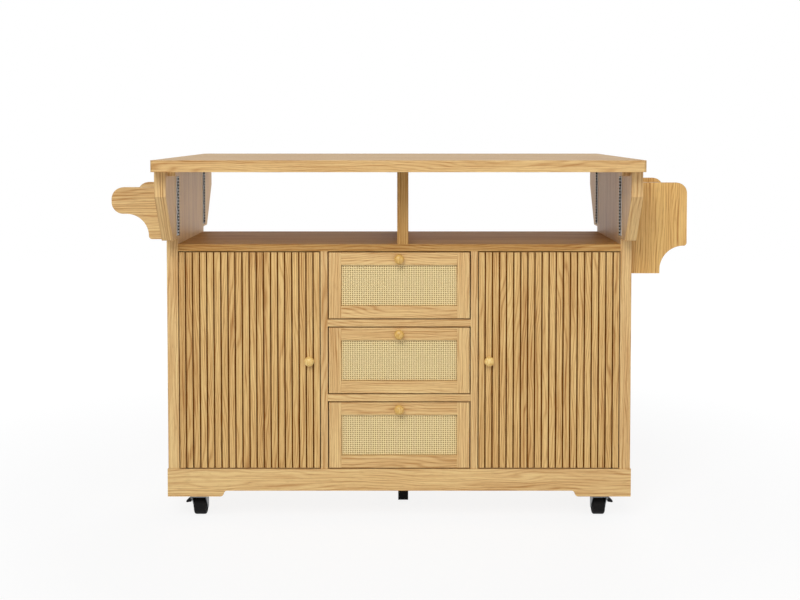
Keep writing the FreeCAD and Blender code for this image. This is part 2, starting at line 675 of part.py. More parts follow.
def make_loose_shelves():
    """A shelf behind each door, resting on four pins."""
    shelves = []
    pins = []
    top = "loose_shelf_height + board_thick"
    front = f"(-{HALF_DEPTH} + loose_shelf_setback)"
    for name, side in SIDES:
        inner = f"({PARTITION_OUTER} + loose_shelf_play)"
        outer = f"({SIDE_INNER} - loose_shelf_play)"
        along = (front, f"{BACK_FACE} - loose_shelf_play")
        shelf = mirrored(side, inner, outer)
        shelves.append(board(f"loose_shelf_{name}", shelf, along, ("loose_shelf_height", top)))
        for wall, near, far in (
            ("inner", PARTITION_OUTER, f"{PARTITION_OUTER} + shelf_pin_length"),
            ("outer", f"{SIDE_INNER} - shelf_pin_length", SIDE_INNER),
        ):
            low = mirrored(side, near, far)[0]
            for end_name, y in (
                ("front", f"{front} + shelf_pin_inset"),
                ("rear", f"{along[1]} - shelf_pin_inset"),
            ):
                start = (low, y, "loose_shelf_height - shelf_pin_radius")
                label = f"shelf_pin_{name}_{wall}_{end_name}"
                pins.append(rod(label, "x", "shelf_pin_radius", start, "shelf_pin_length"))
    node(group("loose_shelves", shelves))
    node(group("shelf_pins", pins))


def hinge_half(label, side, end, toward, first):
    """One leaf of a piano hinge with every second knuckle. Toward is the side its leaf lies on."""
    axis_x = signed(side, HINGE_AXIS_X)
    axis_y = signed(end, HALF_DEPTH)
    pitch = f"({HINGE_LENGTH} / {KNUCKLES})"
    sheet_x = mirrored(side, f"{SIDE_INNER} - hinge_sheet", SIDE_INNER)
    clear = "(hinge_radius + hinge_play)"
    if toward * end > 0:
        near, far = f"{HALF_DEPTH} + {clear}", f"{HALF_DEPTH} + hinge_leaf"
        tab = mirrored(end, HALF_DEPTH, near)
    else:
        near, far = f"{HALF_DEPTH} - hinge_leaf", f"{HALF_DEPTH} - {clear}"
        tab = mirrored(end, far, HALF_DEPTH)
    members = [board(f"{label}_sheet", sheet_x, mirrored(end, near, far), (HINGE_LOW, HINGE_TOP))]
    bridge_x = mirrored(side, f"{SIDE_INNER} - hinge_sheet - hinge_play / 2", SIDE_INNER)
    for index in range(first, KNUCKLES, 2):
        start = f"({HINGE_LOW} + {index} * {pitch} + hinge_play / 2)"
        length = f"{pitch} - hinge_play"
        end_z = f"{start} + {length}"
        members.append(board(f"{label}_tab_{index}", bridge_x, tab, (start, end_z)))
        knuckle = rod(f"{label}_knuckle_{index}", "z", "hinge_radius", (axis_x, axis_y, start), length)
        members.append(knuckle)
    bore = rod(
        f"{label}_bore", "z", "hinge_pin + running_fit",
        (axis_x, axis_y, f"{HINGE_LOW} - hinge_play"), f"{HINGE_LENGTH} + 2 * hinge_play",
    )
    return bored(label, joined(f"{label}_blank", members), bore)


def make_brackets():
    """Four brackets in line with the side panels, their hinges, and the pins of the hinges."""
    fixed = []
    for end_name, end in ENDS:
        for name, side in SIDES:
            label = f"bracket_{end_name}_{name}"
            near = f"({HALF_DEPTH} + bracket_clearance)"
            far = f"({HALF_DEPTH} + bracket_length)"
            slope_y = f"({far} - {near} - bracket_foot)"
            slope_z = f"({BRACKET_TOP} - {BRACKET_LOW} - bracket_nose)"
            slope = f"sqrt({slope_y}^2 + {slope_z}^2)"
            setback = f"(bracket_round * {slope_y} / ({slope} + {slope_z}))"
            corner = f"({near} + bracket_foot)"
            outline = [
                (near, BRACKET_TOP),
                (near, BRACKET_LOW),
                (f"{corner} - {setback}", BRACKET_LOW, "bracket_round", 1),
                (
                    f"{corner} + {setback} * {slope_y} / {slope}",
                    f"{BRACKET_LOW} + {setback} * {slope_z} / {slope}",
                ),
                (far, f"{BRACKET_TOP} - bracket_nose"),
                (far, BRACKET_TOP),
            ]
            place = (mirrored(side, SIDE_INNER, HALF_WIDTH)[0], "0", "0")
            panel = plate(f"{label}_panel", "YZ_Plane", flipped(end, outline), "side_thick", place)
            block = board(
                f"{label}_block",
                mirrored(side, f"{SIDE_INNER} - block_thick", SIDE_INNER),
                mirrored(end, f"{HALF_DEPTH} + block_place", f"{HALF_DEPTH} + block_place + block_length"),
                (f"{BRACKET_TOP} - block_tall", BRACKET_TOP),
            )
            leaf = hinge_half(f"{label}_hinge_leaf", side, end, end, 0)
            node(group(label, [panel, block, leaf]))
            fixed.append(hinge_half(f"{label}_fixed_leaf", side, end, -end, 1))
            start = (signed(side, HINGE_AXIS_X), signed(end, HALF_DEPTH), HINGE_LOW)
            fixed.append(rod(f"{label}_hinge_pin", "z", "hinge_pin", start, HINGE_LENGTH))
    node(group("bracket_hinges", fixed))


def make_caster(end_name, end, name, side):
    """Fork with its axle, and wheel. The wheel trails towards the middle of the cabinet."""
    king_x = signed(side, CASTER_X)
    king_y = signed(end, CASTER_Y)
    where = f"{end_name}_{name}"
    outline = [
        ("-head_radius", f"{CROWN_LOW} + crown_sheet"),
        ("-head_radius", CROWN_LOW),
        ("caster_trail - fork_eye", "wheel_radius", "fork_eye", 1),
        ("caster_trail", "wheel_radius - fork_eye", "fork_eye", 1),
        ("caster_trail + fork_eye", "wheel_radius"),
        ("caster_trail + fork_eye + fork_flare", f"{CROWN_LOW} + crown_sheet"),
    ]
    left = f"{king_x} - {FORK_OUTER}"
    cheeks = plate(
        f"fork_{where}_cheeks", "YZ_Plane", flipped(-end, outline), f"2 * {FORK_OUTER}", (left, king_y, "0"),
    )
    head = rod(
        f"fork_{where}_head", "z", "head_radius",
        (king_x, king_y, CROWN_LOW), "head_tall",
    )
    room = "(wheel_width / 2 + fork_room)"
    reach = "(caster_trail + wheel_radius * 2)"
    slot = board(
        f"fork_{where}_slot",
        (f"{king_x} - {room}", f"{king_x} + {room}"),
        (f"{king_y} - {reach}", f"{king_y} + {reach}"),
        ("0", CROWN_LOW),
    )
    king_bore = rod(
        f"fork_{where}_bore", "z", "axle_radius + running_fit",
        (king_x, king_y, "0"), f"{HEAD_TOP} + race_gap",
    )
    axle_y = f"({king_y} - {end} * caster_trail)"
    fork = bored(
        f"fork_{where}_shaped",
        joined(f"fork_{where}_blank", [cheeks, head]),
        group(f"fork_{where}_hollows", [slot, king_bore]),
    )
    axle = rod(
        f"axle_{where}", "x", "axle_radius",
        (f"{king_x} - {room}", axle_y, "wheel_radius"), f"2 * {room}",
    )
    members = [fork, axle]
    if end < 0:
        members += brake_mount(where, side, king_x, axle_y)
        make_brake(name, side, king_x, axle_y)
    node(group(f"caster_fork_{where}", members))
    make_wheel(where, king_x, axle_y)


def make_wheel(where, king_x, axle_y):
    """A wide wheel with rounded treads, dished sides and a bored hub."""
    half = "(wheel_width / 2)"
    bore = "axle_radius + running_fit"
    rim = "wheel_radius - rim_width"
    dish = f"{half} - dish_depth"
    right = [
        (f"{half} - tread_round", "wheel_radius", "tread_round", -1),
        (half, "wheel_radius - tread_round"),
        (half, rim),
        (dish, rim),
        (dish, "hub_radius"),
        (half, "hub_radius"),
        (half, bore),
    ]
    left = [(f"-({corner[0]})", corner[1]) for corner in reversed(right)]
    left[-2] = left[-2] + ("tread_round", -1)
    node(turned(f"caster_wheel_{where}", right + left, "H_Axis", (king_x, axle_y, "wheel_radius")))


def brake_mount(where, side, king_x, axle_y):
    """Two ears on the outer arm of the fork, and the pin between them."""
    arm = f"({FORK_OUTER})"
    ear_far = f"({arm} + brake_out * 2)"
    ear_x = mirrored(side, arm, ear_far)
    ear_low = "brake_height - brake_out"
    ear_high = "brake_height + brake_out"
    inner = "(brake_width / 2 + slide_fit)"
    outer = f"({inner} + fork_sheet)"
    ears = [
        board(
            f"brake_ear_{where}_{end_name}",
            (f"{king_x} + {ear_x[0]}", f"{king_x} + {ear_x[1]}"),
            tuple(f"{axle_y} + {text}" for text in mirrored(end, inner, outer)),
            (ear_low, ear_high),
        )
        for end_name, end in ENDS
    ]
    start = (f"{king_x} + {signed(side, f'{arm} + brake_out')}", f"{axle_y} - {outer}", "brake_height")
    pin = rod(f"brake_pin_{where}", "y", "brake_pin", start, f"2 * {outer}")
    return [joined(f"brake_mount_{where}", ears + [pin])]


def make_brake(name, side, king_x, axle_y):
    """A brake pedal on its barrel, sloping outwards and down."""
    label = f"brake_pedal_{name}"
    corners = [(f"brake_reach * {out}", f"-brake_drop * {down}") for out, down in PEDAL_CORNERS]
    outline = [("0", "-brake_root")] + corners + [("0", "brake_root")]
    pin_x = f"({king_x} + {signed(side, f'{FORK_OUTER} + brake_out')})"
    far_y = f"{axle_y} + brake_width / 2"
    arm = plate(
        f"{label}_arm", "XZ_Plane", flipped(side, outline), "brake_width", (pin_x, far_y, "brake_height"),
    )
    near = (pin_x, f"{axle_y} - brake_width / 2", "brake_height")
    barrel = rod(f"{label}_barrel", "y", "brake_barrel", near, "brake_width")
    bore = rod(f"{label}_bore", "y", "brake_pin + running_fit", near, "brake_width")
    node(bored(label, joined(f"{label}_blank", [arm, barrel]), bore))


def make_casters():
    """Corner blocks, caster plates with their kingpins, and the four casters."""
    blocks = []
    plates = []
    plate_top = f"({PLATE_LOW} + plate_thick)"
    for end_name, end in ENDS:
        for name, side in SIDES:
            where = f"{end_name}_{name}"
            wall = f"{PLINTH_Y} - board_thick"
            middle = signed(side, CASTER_X)
            across = (f"{middle} - block_width / 2", f"{middle} + block_width / 2")
            along = mirrored(end, f"{wall} - block_width", wall)
            blocks.append(board(f"corner_block_{where}", across, along, (plate_top, BOTTOM_LOW)))
            king_y = signed(end, CASTER_Y)
            flange = board(
                f"caster_flange_{where}",
                (f"{middle} - plate_length / 2", f"{middle} + plate_length / 2"),
                (f"{king_y} - plate_width / 2", f"{king_y} + plate_width / 2"),
                (PLATE_LOW, plate_top),
            )
            race = rod(
                f"caster_race_{where}", "z", "head_radius",
                (middle, king_y, RACE_LOW), "race_tall",
            )
            king_low = f"({CROWN_LOW} + fork_room)"
            kingpin = rod(
                f"kingpin_{where}", "z", "axle_radius",
                (middle, king_y, king_low), f"{PLATE_LOW} - {king_low}",
            )
            plates.append(joined(f"caster_plate_{where}", [flange, race, kingpin]))
            make_caster(end_name, end, name, side)
    node(group("corner_blocks", blocks))
    node(group("caster_plates", plates))


def left_end_outline():
    """End panel of the left rack: a rounded nose over a hollow quarter circle."""
    tip = RACK_END_X
    foot = f"({HALF_WIDTH} + left_rack_foot)"
    edge = f"({foot} + left_foot_round)"
    start = f"({LEFT_RACK_LOW} + left_foot_round)"
    hollow = f"({LEFT_NOSE_LOW} - {start})"
    return [
        (HALF_WIDTH, LEFT_RACK_LOW),
        (foot, LEFT_RACK_LOW, "left_foot_round", 1),
        (edge, start, hollow, -1),
        (f"{edge} + {hollow}", LEFT_NOSE_LOW),
        (f"{tip} - left_nose_round", LEFT_NOSE_LOW, "left_nose_round", 1),
        (tip, f"{LEFT_NOSE_LOW} + left_nose_round"),
        (tip, f"{LEFT_RACK_TOP} - left_nose_round", "left_nose_round", 1),
        (f"{tip} - left_nose_round", LEFT_RACK_TOP),
        (HALF_WIDTH, LEFT_RACK_TOP),
    ]


def right_end_outline():
    """End panel of the right rack: a broad upper part, stepped back by a hollow quarter circle."""
    tip = RACK_END_X
    foot = f"({HALF_WIDTH} + right_rack_foot)"
    shoulder = f"({tip} - right_low_round)"
    hollow = f"({shoulder} - {foot})"
    start = f"({RIGHT_NOSE_LOW} - {hollow})"
    return [
        (HALF_WIDTH, RIGHT_RACK_LOW),
        (foot, RIGHT_RACK_LOW),
        (foot, start, hollow, -1),
        (shoulder, RIGHT_NOSE_LOW, "right_low_round", 1),
        (tip, f"{RIGHT_NOSE_LOW} + right_low_round"),
        (tip, f"{RIGHT_RACK_TOP} - right_top_round", "right_top_round", 1),
        (f"{tip} - right_top_round", RIGHT_RACK_TOP),
        (HALF_WIDTH, RIGHT_RACK_TOP),
    ]


def make_rack_ends(name, side, outline):
    """The front and rear end panels of a rack."""
    panels = []
    for end_name, end in ENDS:
        top_y = mirrored(end, RACK_INNER_Y, "rack_half")[1]
        label = f"rack_{name}_end_{end_name}"
        panels.append(plate(label, "XZ_Plane", flipped(side, outline), "board_thick", ("0", top_y, "0")))
    node(group(f"rack_{name}_end_panels", panels))


def make_racks():
    """Left rack with a roll bar, right rack with rest slats, a guarded shelf and a hanging bar."""
    make_rack_ends("left", -1, left_end_outline())
    make_rack_ends("right", 1, right_end_outline())
    along = (f"-{RACK_INNER_Y}", RACK_INNER_Y)
    length = f"2 * {RACK_INNER_Y}"
    on_panel = f"({HALF_WIDTH} + board_thick)"
    node(group("rack_mounting_boards", [
        board(
            f"rack_mounting_board_{name}",
            mirrored(side, HALF_WIDTH, on_panel),
            along,
            (f"{low} + rack_board_margin", f"{top} - rack_board_margin"),
        )
        for name, side, low, top in (
            ("left", -1, LEFT_RACK_LOW, LEFT_RACK_TOP),
            ("right", 1, RIGHT_RACK_LOW, RIGHT_RACK_TOP),
        )
    ]))
    nose = f"({LEFT_NOSE_LOW} + {LEFT_RACK_TOP}) / 2"
    bar_start = (f"-({RACK_END_X} - roll_bar_inset)", along[0], nose)
    node(rod("rack_left_roll_bar", "y", "roll_bar_radius", bar_start, length))
    slats = []
    for index in range(REST_SLATS):
        low_x = f"({on_panel} + {index} * (rest_slat_width + rest_slat_gap))"
        across = (low_x, f"{low_x} + rest_slat_width")
        level = (f"{RIGHT_RACK_TOP} - rest_slat_drop - board_thick", f"{RIGHT_RACK_TOP} - rest_slat_drop")
        slats.append(board(f"rest_slat_{index + 1}", across, along, level))
    node(group("rack_right_rest_slats", slats))
    guard_x = (f"{RACK_END_X} - board_thick", RACK_END_X)
    shelf_top = f"{RACK_SHELF_LOW} + board_thick"
    node(group("rack_right_shelf_and_guard", [
        board("rack_right_shelf", (on_panel, guard_x[0]), along, (RACK_SHELF_LOW, shelf_top)),
        board("rack_right_guard", guard_x, along, (RACK_SHELF_LOW, f"{RACK_SHELF_LOW} + guard_tall")),
    ]))
    bar_place = (f"{HALF_WIDTH} + hanging_bar_out", along[0], f"{RIGHT_RACK_LOW} + hanging_bar_rise")
    node(rod("rack_right_hanging_bar", "y", "hanging_bar_radius", bar_place, length))


def write_nodes():
    """Check every object, then write one file for each sub-part."""
    doc.recompute()
    for thing in doc.Objects:
        bad = {"Invalid", "Error"} & set(thing.State)
        if bad:
            raise RuntimeError(f"{thing.Label} is {sorted(bad)}")
    for thing in nodes:
        if thing.Shape.isNull() or not thing.Shape.isValid() or not thing.Shape.Solids:
            raise RuntimeError(f"{thing.Label} has no valid shape")
    os.makedirs("parts", exist_ok=True)
    for thing in nodes:
        thing.Shape.exportStep(os.path.join("parts", f"{thing.Label}.step"))
    print(len(nodes), "sub-parts,", sum(len(thing.Shape.Solids) for thing in nodes), "solids")


make_carcass()
make_worktop()
make_plinth()
for name, side in SIDES:
    make_door(name, side)
make_door_pins()
for index, name in enumerate(DRAWERS):
    make_drawer(name, index)
make_runners()
make_loose_shelves()
make_brackets()
make_casters()
make_racks()
write_nodes()
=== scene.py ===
# %% [markdown]
# # A kitchen island unit, dressed for its photograph
# The real unit is a flat-packed cabinet: boards faced with an oak-look film, two doors of upright
# slats, three drawers with cane panels, drop leaves on swing-out brackets, and four casters. Its
# construction is already fixed, so this lesson loads it as a frame and gives each piece its shape
# up close and its finish. The frame comes first, because most sizes below are read from it.

import math

import bpy
from mathutils import Matrix, Vector


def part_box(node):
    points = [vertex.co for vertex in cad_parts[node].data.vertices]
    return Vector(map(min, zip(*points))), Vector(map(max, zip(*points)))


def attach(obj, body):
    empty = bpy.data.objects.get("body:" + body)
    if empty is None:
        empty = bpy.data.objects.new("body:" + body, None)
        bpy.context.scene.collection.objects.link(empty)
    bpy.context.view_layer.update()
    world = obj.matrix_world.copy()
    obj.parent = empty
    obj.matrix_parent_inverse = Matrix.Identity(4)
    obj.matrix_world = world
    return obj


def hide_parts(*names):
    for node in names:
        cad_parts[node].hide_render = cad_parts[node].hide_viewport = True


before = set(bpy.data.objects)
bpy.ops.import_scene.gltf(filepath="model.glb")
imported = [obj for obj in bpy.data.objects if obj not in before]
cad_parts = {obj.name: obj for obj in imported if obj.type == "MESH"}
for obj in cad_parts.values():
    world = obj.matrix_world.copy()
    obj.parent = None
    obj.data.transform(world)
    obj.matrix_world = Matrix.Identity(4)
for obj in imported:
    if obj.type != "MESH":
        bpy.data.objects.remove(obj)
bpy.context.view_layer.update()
MM = 0.001

# %% [markdown]
# ## The camera
# A catalogue photograph is taken from far off with a long lens, level with the worktop, and the
# lens is shifted down so that uprights stay upright. A shift alone would hold them exactly, and a
# small tilt beside it keeps the shift modest.

# %% Place the camera
CAMERA_PLACE = Vector((27.89, -3369.99, 1006.54)) * MM
CAMERA_TILT = math.radians(2.5)
CAMERA_LENS = 56.402
CAMERA_SHIFT = (-0.0127, -0.1465)

camera_data = bpy.data.cameras.new("camera")
camera = bpy.data.objects.new("camera", camera_data)
bpy.context.scene.collection.objects.link(camera)
camera.location = CAMERA_PLACE
camera.rotation_euler = (math.radians(90) - CAMERA_TILT, 0, 0)
camera_data.lens = CAMERA_LENS
camera_data.shift_x, camera_data.shift_y = CAMERA_SHIFT
bpy.context.scene.camera = camera
print("camera at", tuple(round(v, 3) for v in camera.location))

# %% [markdown]
# ## Small tools for the bench
# Operators act on whatever is selected, so each tool first clears the selection. A finished piece
# has its place in its mesh and its object at the origin, as a pattern on it then stays put.


# %% Selection and settling
def only(piece):
    """Select this piece and nothing else."""
    bpy.ops.object.select_all(action="DESELECT")
    piece.select_set(True)
    bpy.context.view_layer.objects.active = piece


def settle(piece):
    """Move the piece's place, turn and size into its mesh."""
    only(piece)
    bpy.ops.object.transform_apply(location=True, rotation=True, scale=True)


def use(piece, kind, **settings):
    """Put one modifier on a piece and apply it."""
    only(piece)
    modifier = piece.modifiers.new(kind.lower(), kind)
    for name, value in settings.items():
        setattr(modifier, name, value)
    bpy.ops.object.modifier_apply(modifier=modifier.name)


def join(name, members):
    """Make one object of several."""
    only(members[0])
    for member in members[1:]:
        member.select_set(True)
    if len(members) > 1:
        bpy.ops.object.join()
    members[0].name = name
    members[0].data.name = name
    return members[0]


def twin(piece, offset):
    """A copy with its own mesh, moved by offset."""
    copy = bpy.data.objects.new(piece.name, piece.data.copy())
    bpy.context.scene.collection.objects.link(copy)
    copy.data.transform(Matrix.Translation(offset))
    return copy


def nudge(piece, chosen, shift):
    """Move the vertices whose place passes a test."""
    only(piece)
    bpy.ops.object.mode_set(mode="EDIT")
    bpy.ops.mesh.select_mode(type="VERT")
    bpy.ops.mesh.select_all(action="DESELECT")
    bpy.ops.object.mode_set(mode="OBJECT")
    for vertex in piece.data.vertices:
        vertex.select = chosen(vertex.co)
    bpy.ops.object.mode_set(mode="EDIT")
    bpy.ops.transform.translate(value=shift)
    bpy.ops.object.mode_set(mode="OBJECT")


# %% [markdown]
# ## Edges and grain
# No sawn board has a razor edge: sanding and the folded film leave an arris of about half a
# millimetre, and it is what catches the light. A bevel gives it. The grain is a film printed in
# one direction, so each board carries a map in metres whose first axis runs along its grain, and
# each board starts at another place on the film.

# %% Arrises and the grain map
ARRIS = 0.5 * MM
# Edges that turn by more than this many degrees are rounded.
CREASE = 30
# A face looks along an axis when its normal holds more than this share of it.
FACING = 0.9
# Each board starts this far along and across the film from the one before, in metres.
FILM_STEP = (0.737, 0.219)
# The frame's corners are merged within WELD, and its faces where they turn by less than FLAT_TURN.
WELD = 0.002 * MM
FLAT_TURN = math.radians(0.5)
film = {"boards": 0}


def soften(piece, width=ARRIS, segments=2, angle=CREASE):
    """Round every edge sharper than the angle and shade it so that the flats stay flat."""
    only(piece)
    bpy.ops.object.shade_smooth()
    use(
        piece, "BEVEL", width=width, segments=segments, limit_method="ANGLE",
        angle_limit=math.radians(angle), harden_normals=True,
    )
    use(piece, "WEIGHTED_NORMAL", mode="FACE_AREA", weight=100)


def lay_grain(piece, grain, same_film=False):
    """Map the film onto a piece: the first axis of the map runs along the grain."""
    if not same_film:
        film["boards"] += 1
    start = [film["boards"] * step for step in FILM_STEP]
    along = "XYZ".index(grain)
    mesh = piece.data
    layer = mesh.uv_layers.get("grain") or mesh.uv_layers.new(name="grain")
    others = [axis for axis in range(3) if axis != along]
    for face in mesh.polygons:
        if abs(face.normal[along]) > FACING:
            first, second = others
        else:
            towards = max(others, key=lambda axis: abs(face.normal[axis]))
            first = along
            second = 3 - along - towards
        for corner in face.loop_indices:
            place = mesh.vertices[mesh.loops[corner].vertex_index].co
            layer.data[corner].uv = (place[first] + start[0], place[second] + start[1])


def plank(name, low, high, grain, arris=ARRIS, segments=2, same_film=False):
    """A board between two corners, with its arrises rounded and its film laid."""
    low, high = Vector(low), Vector(high)
    bpy.ops.object.select_all(action="DESELECT")
    bpy.ops.mesh.primitive_cube_add(size=1, location=(low + high) / 2)
    piece = bpy.context.active_object
    piece.name = name
    piece.scale = high - low
    settle(piece)
    soften(piece, arris, segments)
    lay_grain(piece, grain, same_film)
    return piece


def loose_copies(node):
    """Copies of the solids of a node, biggest box first, with flat faces made whole."""
    copy = bpy.data.objects.new(node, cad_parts[node].data.copy())
    bpy.context.scene.collection.objects.link(copy)
    copy.data.materials.clear()
    while copy.data.uv_layers:
        copy.data.uv_layers.remove(copy.data.uv_layers[0])
    only(copy)
    bpy.ops.object.mode_set(mode="EDIT")
    bpy.ops.mesh.select_all(action="SELECT")
    bpy.ops.mesh.remove_doubles(threshold=WELD)
    bpy.ops.mesh.customdata_custom_splitnormals_clear()
    bpy.ops.mesh.dissolve_limited(angle_limit=FLAT_TURN)
    bpy.ops.mesh.separate(type="LOOSE")
    bpy.ops.object.mode_set(mode="OBJECT")
    return sorted(bpy.context.selected_objects, key=lambda piece: -math.prod(piece.dimensions))


# %% [markdown]
# ## Colours and nodes
# Colours are written as they look on a screen and turned to linear light once. One function adds
# any node with its settings and links.


# %% Colour and node helpers
def linear(code):
    """A screen colour such as "d9b178" as linear light, by the sRGB curve."""
    channels = [int(code[i:i + 2], 16) / 255 for i in (0, 2, 4)]
    return [c / 12.92 if c <= 0.04045 else ((c + 0.055) / 1.055) ** 2.4 for c in channels] + [1]


def new_material(name):
    """An empty node material and its shader, wired to the output."""
    material = bpy.data.materials.new(name)
    material.use_nodes = True
    material.node_tree.nodes.clear()
    shader = add(material, "ShaderNodeBsdfPrincipled")
    add(material, "ShaderNodeOutputMaterial", links={"Surface": shader.outputs[0]})
    return material, shader


def add(material, kind, values=None, links=None, stops=(), **settings):
    """Add a node: its own settings, the values and links of its sockets, the stops of its ramp."""
    node = material.node_tree.nodes.new(kind)
    for name, value in settings.items():
        setattr(node, name, value)
    for socket, value in (values or {}).items():
        node.inputs[socket].default_value = value
    for socket, source in (links or {}).items():
        material.node_tree.links.new(source, node.inputs[socket])
    for index, (place, colour) in enumerate(stops):
        elements = node.color_ramp.elements
        element = elements[index] if index < len(elements) else elements.new(place)
        element.position, element.color = place, colour
    return node


# %% [markdown]
# ## Oak-look film
# The boards are chipboard under a printed oak film with a satin lacquer. Oak has narrow growth
# lines that run with the grain and now and then close to an arch, fine streaks between them, short
# dark pores, and a slow drift from honey to tan. The lines are the crests of a wave across the
# grain, bent by two slow noises; streaks and pores are noises drawn out along the grain. The pores
# of real oak are about 0.2 mm wide and are drawn near 1 mm here, because finer ones would not show.

# %% Make the oak film
RING_SPACING = 7.5 * MM
RING_NARROWING = 2.2
PORE_WIDTH = 1.1 * MM
PORE_LENGTH = 26 * MM
# Of each noise: metres along the grain and across it, detail, roughness.
FIGURE = {
    "bend": (0.45, 0.085, 2.0, 0.5),
    "waver": (0.12, 0.026, 2.0, 0.5),
    "streak": (0.16, 2.6 * MM, 4.0, 0.6),
    "drift": (0.6, 0.05, 2.0, 0.5),
    "pore": (PORE_LENGTH, PORE_WIDTH, 2.5, 0.5),
}
# Each noise is read this far from the one before it, so that no two follow each other.
NOISE_STEP = 3.7
# How far the two slow noises push the growth lines aside.
SWINGS = (("bend", 85 * MM), ("waver", 13 * MM))
# What growth lines, streaks and drift add to the tone, and the tones of dark, middle and light.
LINE_SHARE = -0.15
TONE_SHARES = (("streak", 0.8), ("drift", 0.36))
TONE_STOPS = (0.3, 0.5, 0.7)
# The pore noise at which a pore begins and is deepest, and how far it darkens the film.
PORE_RANGE = (0.58, 0.72)
PORE_DEPTH = 0.4
PORE_COLOUR = "96652c"
# How far the streaks take the roughness down and up, and the film's relief.
STREAK_SHINE = (0.06, 0.08)
FILM_RELIEF = 0.12
FILM_RELIEF_DEPTH = 0.15 * MM


def oak_film(name, light, middle, dark, roughness, gloss=0.35):
    """A printed oak film. Its map is in metres, first axis along the grain."""
    material, shader = new_material(name)
    place = add(material, "ShaderNodeUVMap", uv_map="grain").outputs["UV"]
    figure = {}
    for index, (label, (along, across, detail, rough)) in enumerate(FIGURE.items()):
        mapping = add(
            material, "ShaderNodeMapping", links={"Vector": place},
            values={"Location": [NOISE_STEP * index] * 3, "Scale": (1 / along, 1 / across, 1)},
        )
        noise = add(
            material, "ShaderNodeTexNoise", links={"Vector": mapping.outputs["Vector"]},
            values={"Scale": 1.0, "Detail": detail, "Roughness": rough},
        )
        figure[label] = noise.outputs["Fac"]
    aside = add(material, "ShaderNodeSeparateXYZ", links={"Vector": place}).outputs["Y"]
    for label, swing in SWINGS:
        aside = add(
            material, "ShaderNodeMath", operation="MULTIPLY_ADD",
            links={0: figure[label], 2: aside}, values={1: swing},
        ).outputs[0]
    phase = add(
        material, "ShaderNodeMath", operation="MULTIPLY",
        links={0: aside}, values={1: math.tau / RING_SPACING},
    )
    wave = add(material, "ShaderNodeMath", operation="SINE", links={0: phase.outputs[0]})
    crest = add(
        material, "ShaderNodeMapRange", links={"Value": wave.outputs[0]},
        values={"From Min": -1.0, "From Max": 1.0},
    )
    line = add(
        material, "ShaderNodeMath", operation="POWER",
        links={0: crest.outputs[0]}, values={1: RING_NARROWING},
    )
    tone = add(
        material, "ShaderNodeMath", operation="MULTIPLY",
        links={0: line.outputs[0]}, values={1: LINE_SHARE},
    )
    for label, share in TONE_SHARES:
        tone = add(
            material, "ShaderNodeMath", operation="MULTIPLY_ADD",
            links={0: figure[label], 2: tone.outputs[0]}, values={1: share},
        )
    wood = add(
        material, "ShaderNodeValToRGB", links={"Fac": tone.outputs[0]},
        stops=[(stop, linear(code)) for stop, code in zip(TONE_STOPS, (dark, middle, light))],
    )
    flecks = add(
        material, "ShaderNodeMapRange", links={"Value": figure["pore"]},
        values={
            "From Min": PORE_RANGE[0], "From Max": PORE_RANGE[1],
            "To Min": 0.0, "To Max": PORE_DEPTH,
        },
    )
    colour = add(
        material, "ShaderNodeMix", data_type="RGBA", blend_type="MULTIPLY",
        links={"Factor": flecks.outputs[0], "A": wood.outputs["Color"]},
        values={"B": linear(PORE_COLOUR)},
    )
    shine = add(
        material, "ShaderNodeMapRange", links={"Value": figure["streak"]},
        values={"To Min": roughness - STREAK_SHINE[0], "To Max": roughness + STREAK_SHINE[1]},
    )
    relief = add(
        material, "ShaderNodeBump", links={"Height": tone.outputs[0]},
        values={"Strength": FILM_RELIEF, "Distance": FILM_RELIEF_DEPTH},
    )
    links = material.node_tree.links
    links.new(colour.outputs["Result"], shader.inputs["Base Color"])
    links.new(shine.outputs[0], shader.inputs["Roughness"])
    links.new(relief.outputs[0], shader.inputs["Normal"])
    shader.inputs["Specular IOR Level"].default_value = gloss
    return material


OAK = oak_film("oak_film_satin", "e8c98c", "d4ac73", "ae7b3e", 0.42)
OAK_TOP = oak_film("oak_film_worktop", "e3c083", "d0a66b", "aa763a", 0.46)
OAK_DOOR = oak_film("oak_film_doors", "e5c281", "cca163", "965f22", 0.42)
# A darker copy of the film as painted shade, for the shade under the worktop's overhang on the open
# shelf and its divider.
OAK_SHELF_PAINTED_SHADE = oak_film("oak_film_open_shelf_painted_shade", "cba467", "b88a4c", "935f26", 0.55, gloss=0.2)
# A deeper copy of the film as painted shade, for the shadow that the worktop and bracket cast on
# the right rack.
OAK_RACK_PAINTED_SHADE = oak_film("oak_film_right_rack_painted_shade", "e6bf76", "d0a05a", "a66d28", 0.42)
print("oak films made")

# %% [markdown]
# ## The other finishes
# Turned beech under clear varnish for the knobs, a board behind the cane made brown as painted
# shade for the holes of the weave, pale melamine board for the drawer boxes, zinc-plated pressed
# steel for hinges and forks, with the forks' zinc darkened as painted shade for the shade under
# the unit, pins for the doors made near black as painted shade for the gap they sit in, moulded
# black rubber and plastic for wheels and pedals, a black lacquered post, and a dark brown painted
# shade in the grooves of the doors and round the drawer fronts. Their patterns are small, so they
# read the place on the object in metres.

# %% Make the other finishes
# The detail of the noise and where it is dark and light, how far it takes the roughness down and
# up, and its relief, whose depth is a share of the mottle's size.
MOTTLE_DETAIL = 3.0
MOTTLE_RANGE = (0.3, 0.7)
MOTTLE_SHINE = 0.06
MOTTLE_RELIEF = 0.05
MOTTLE_DEPTH = 0.2


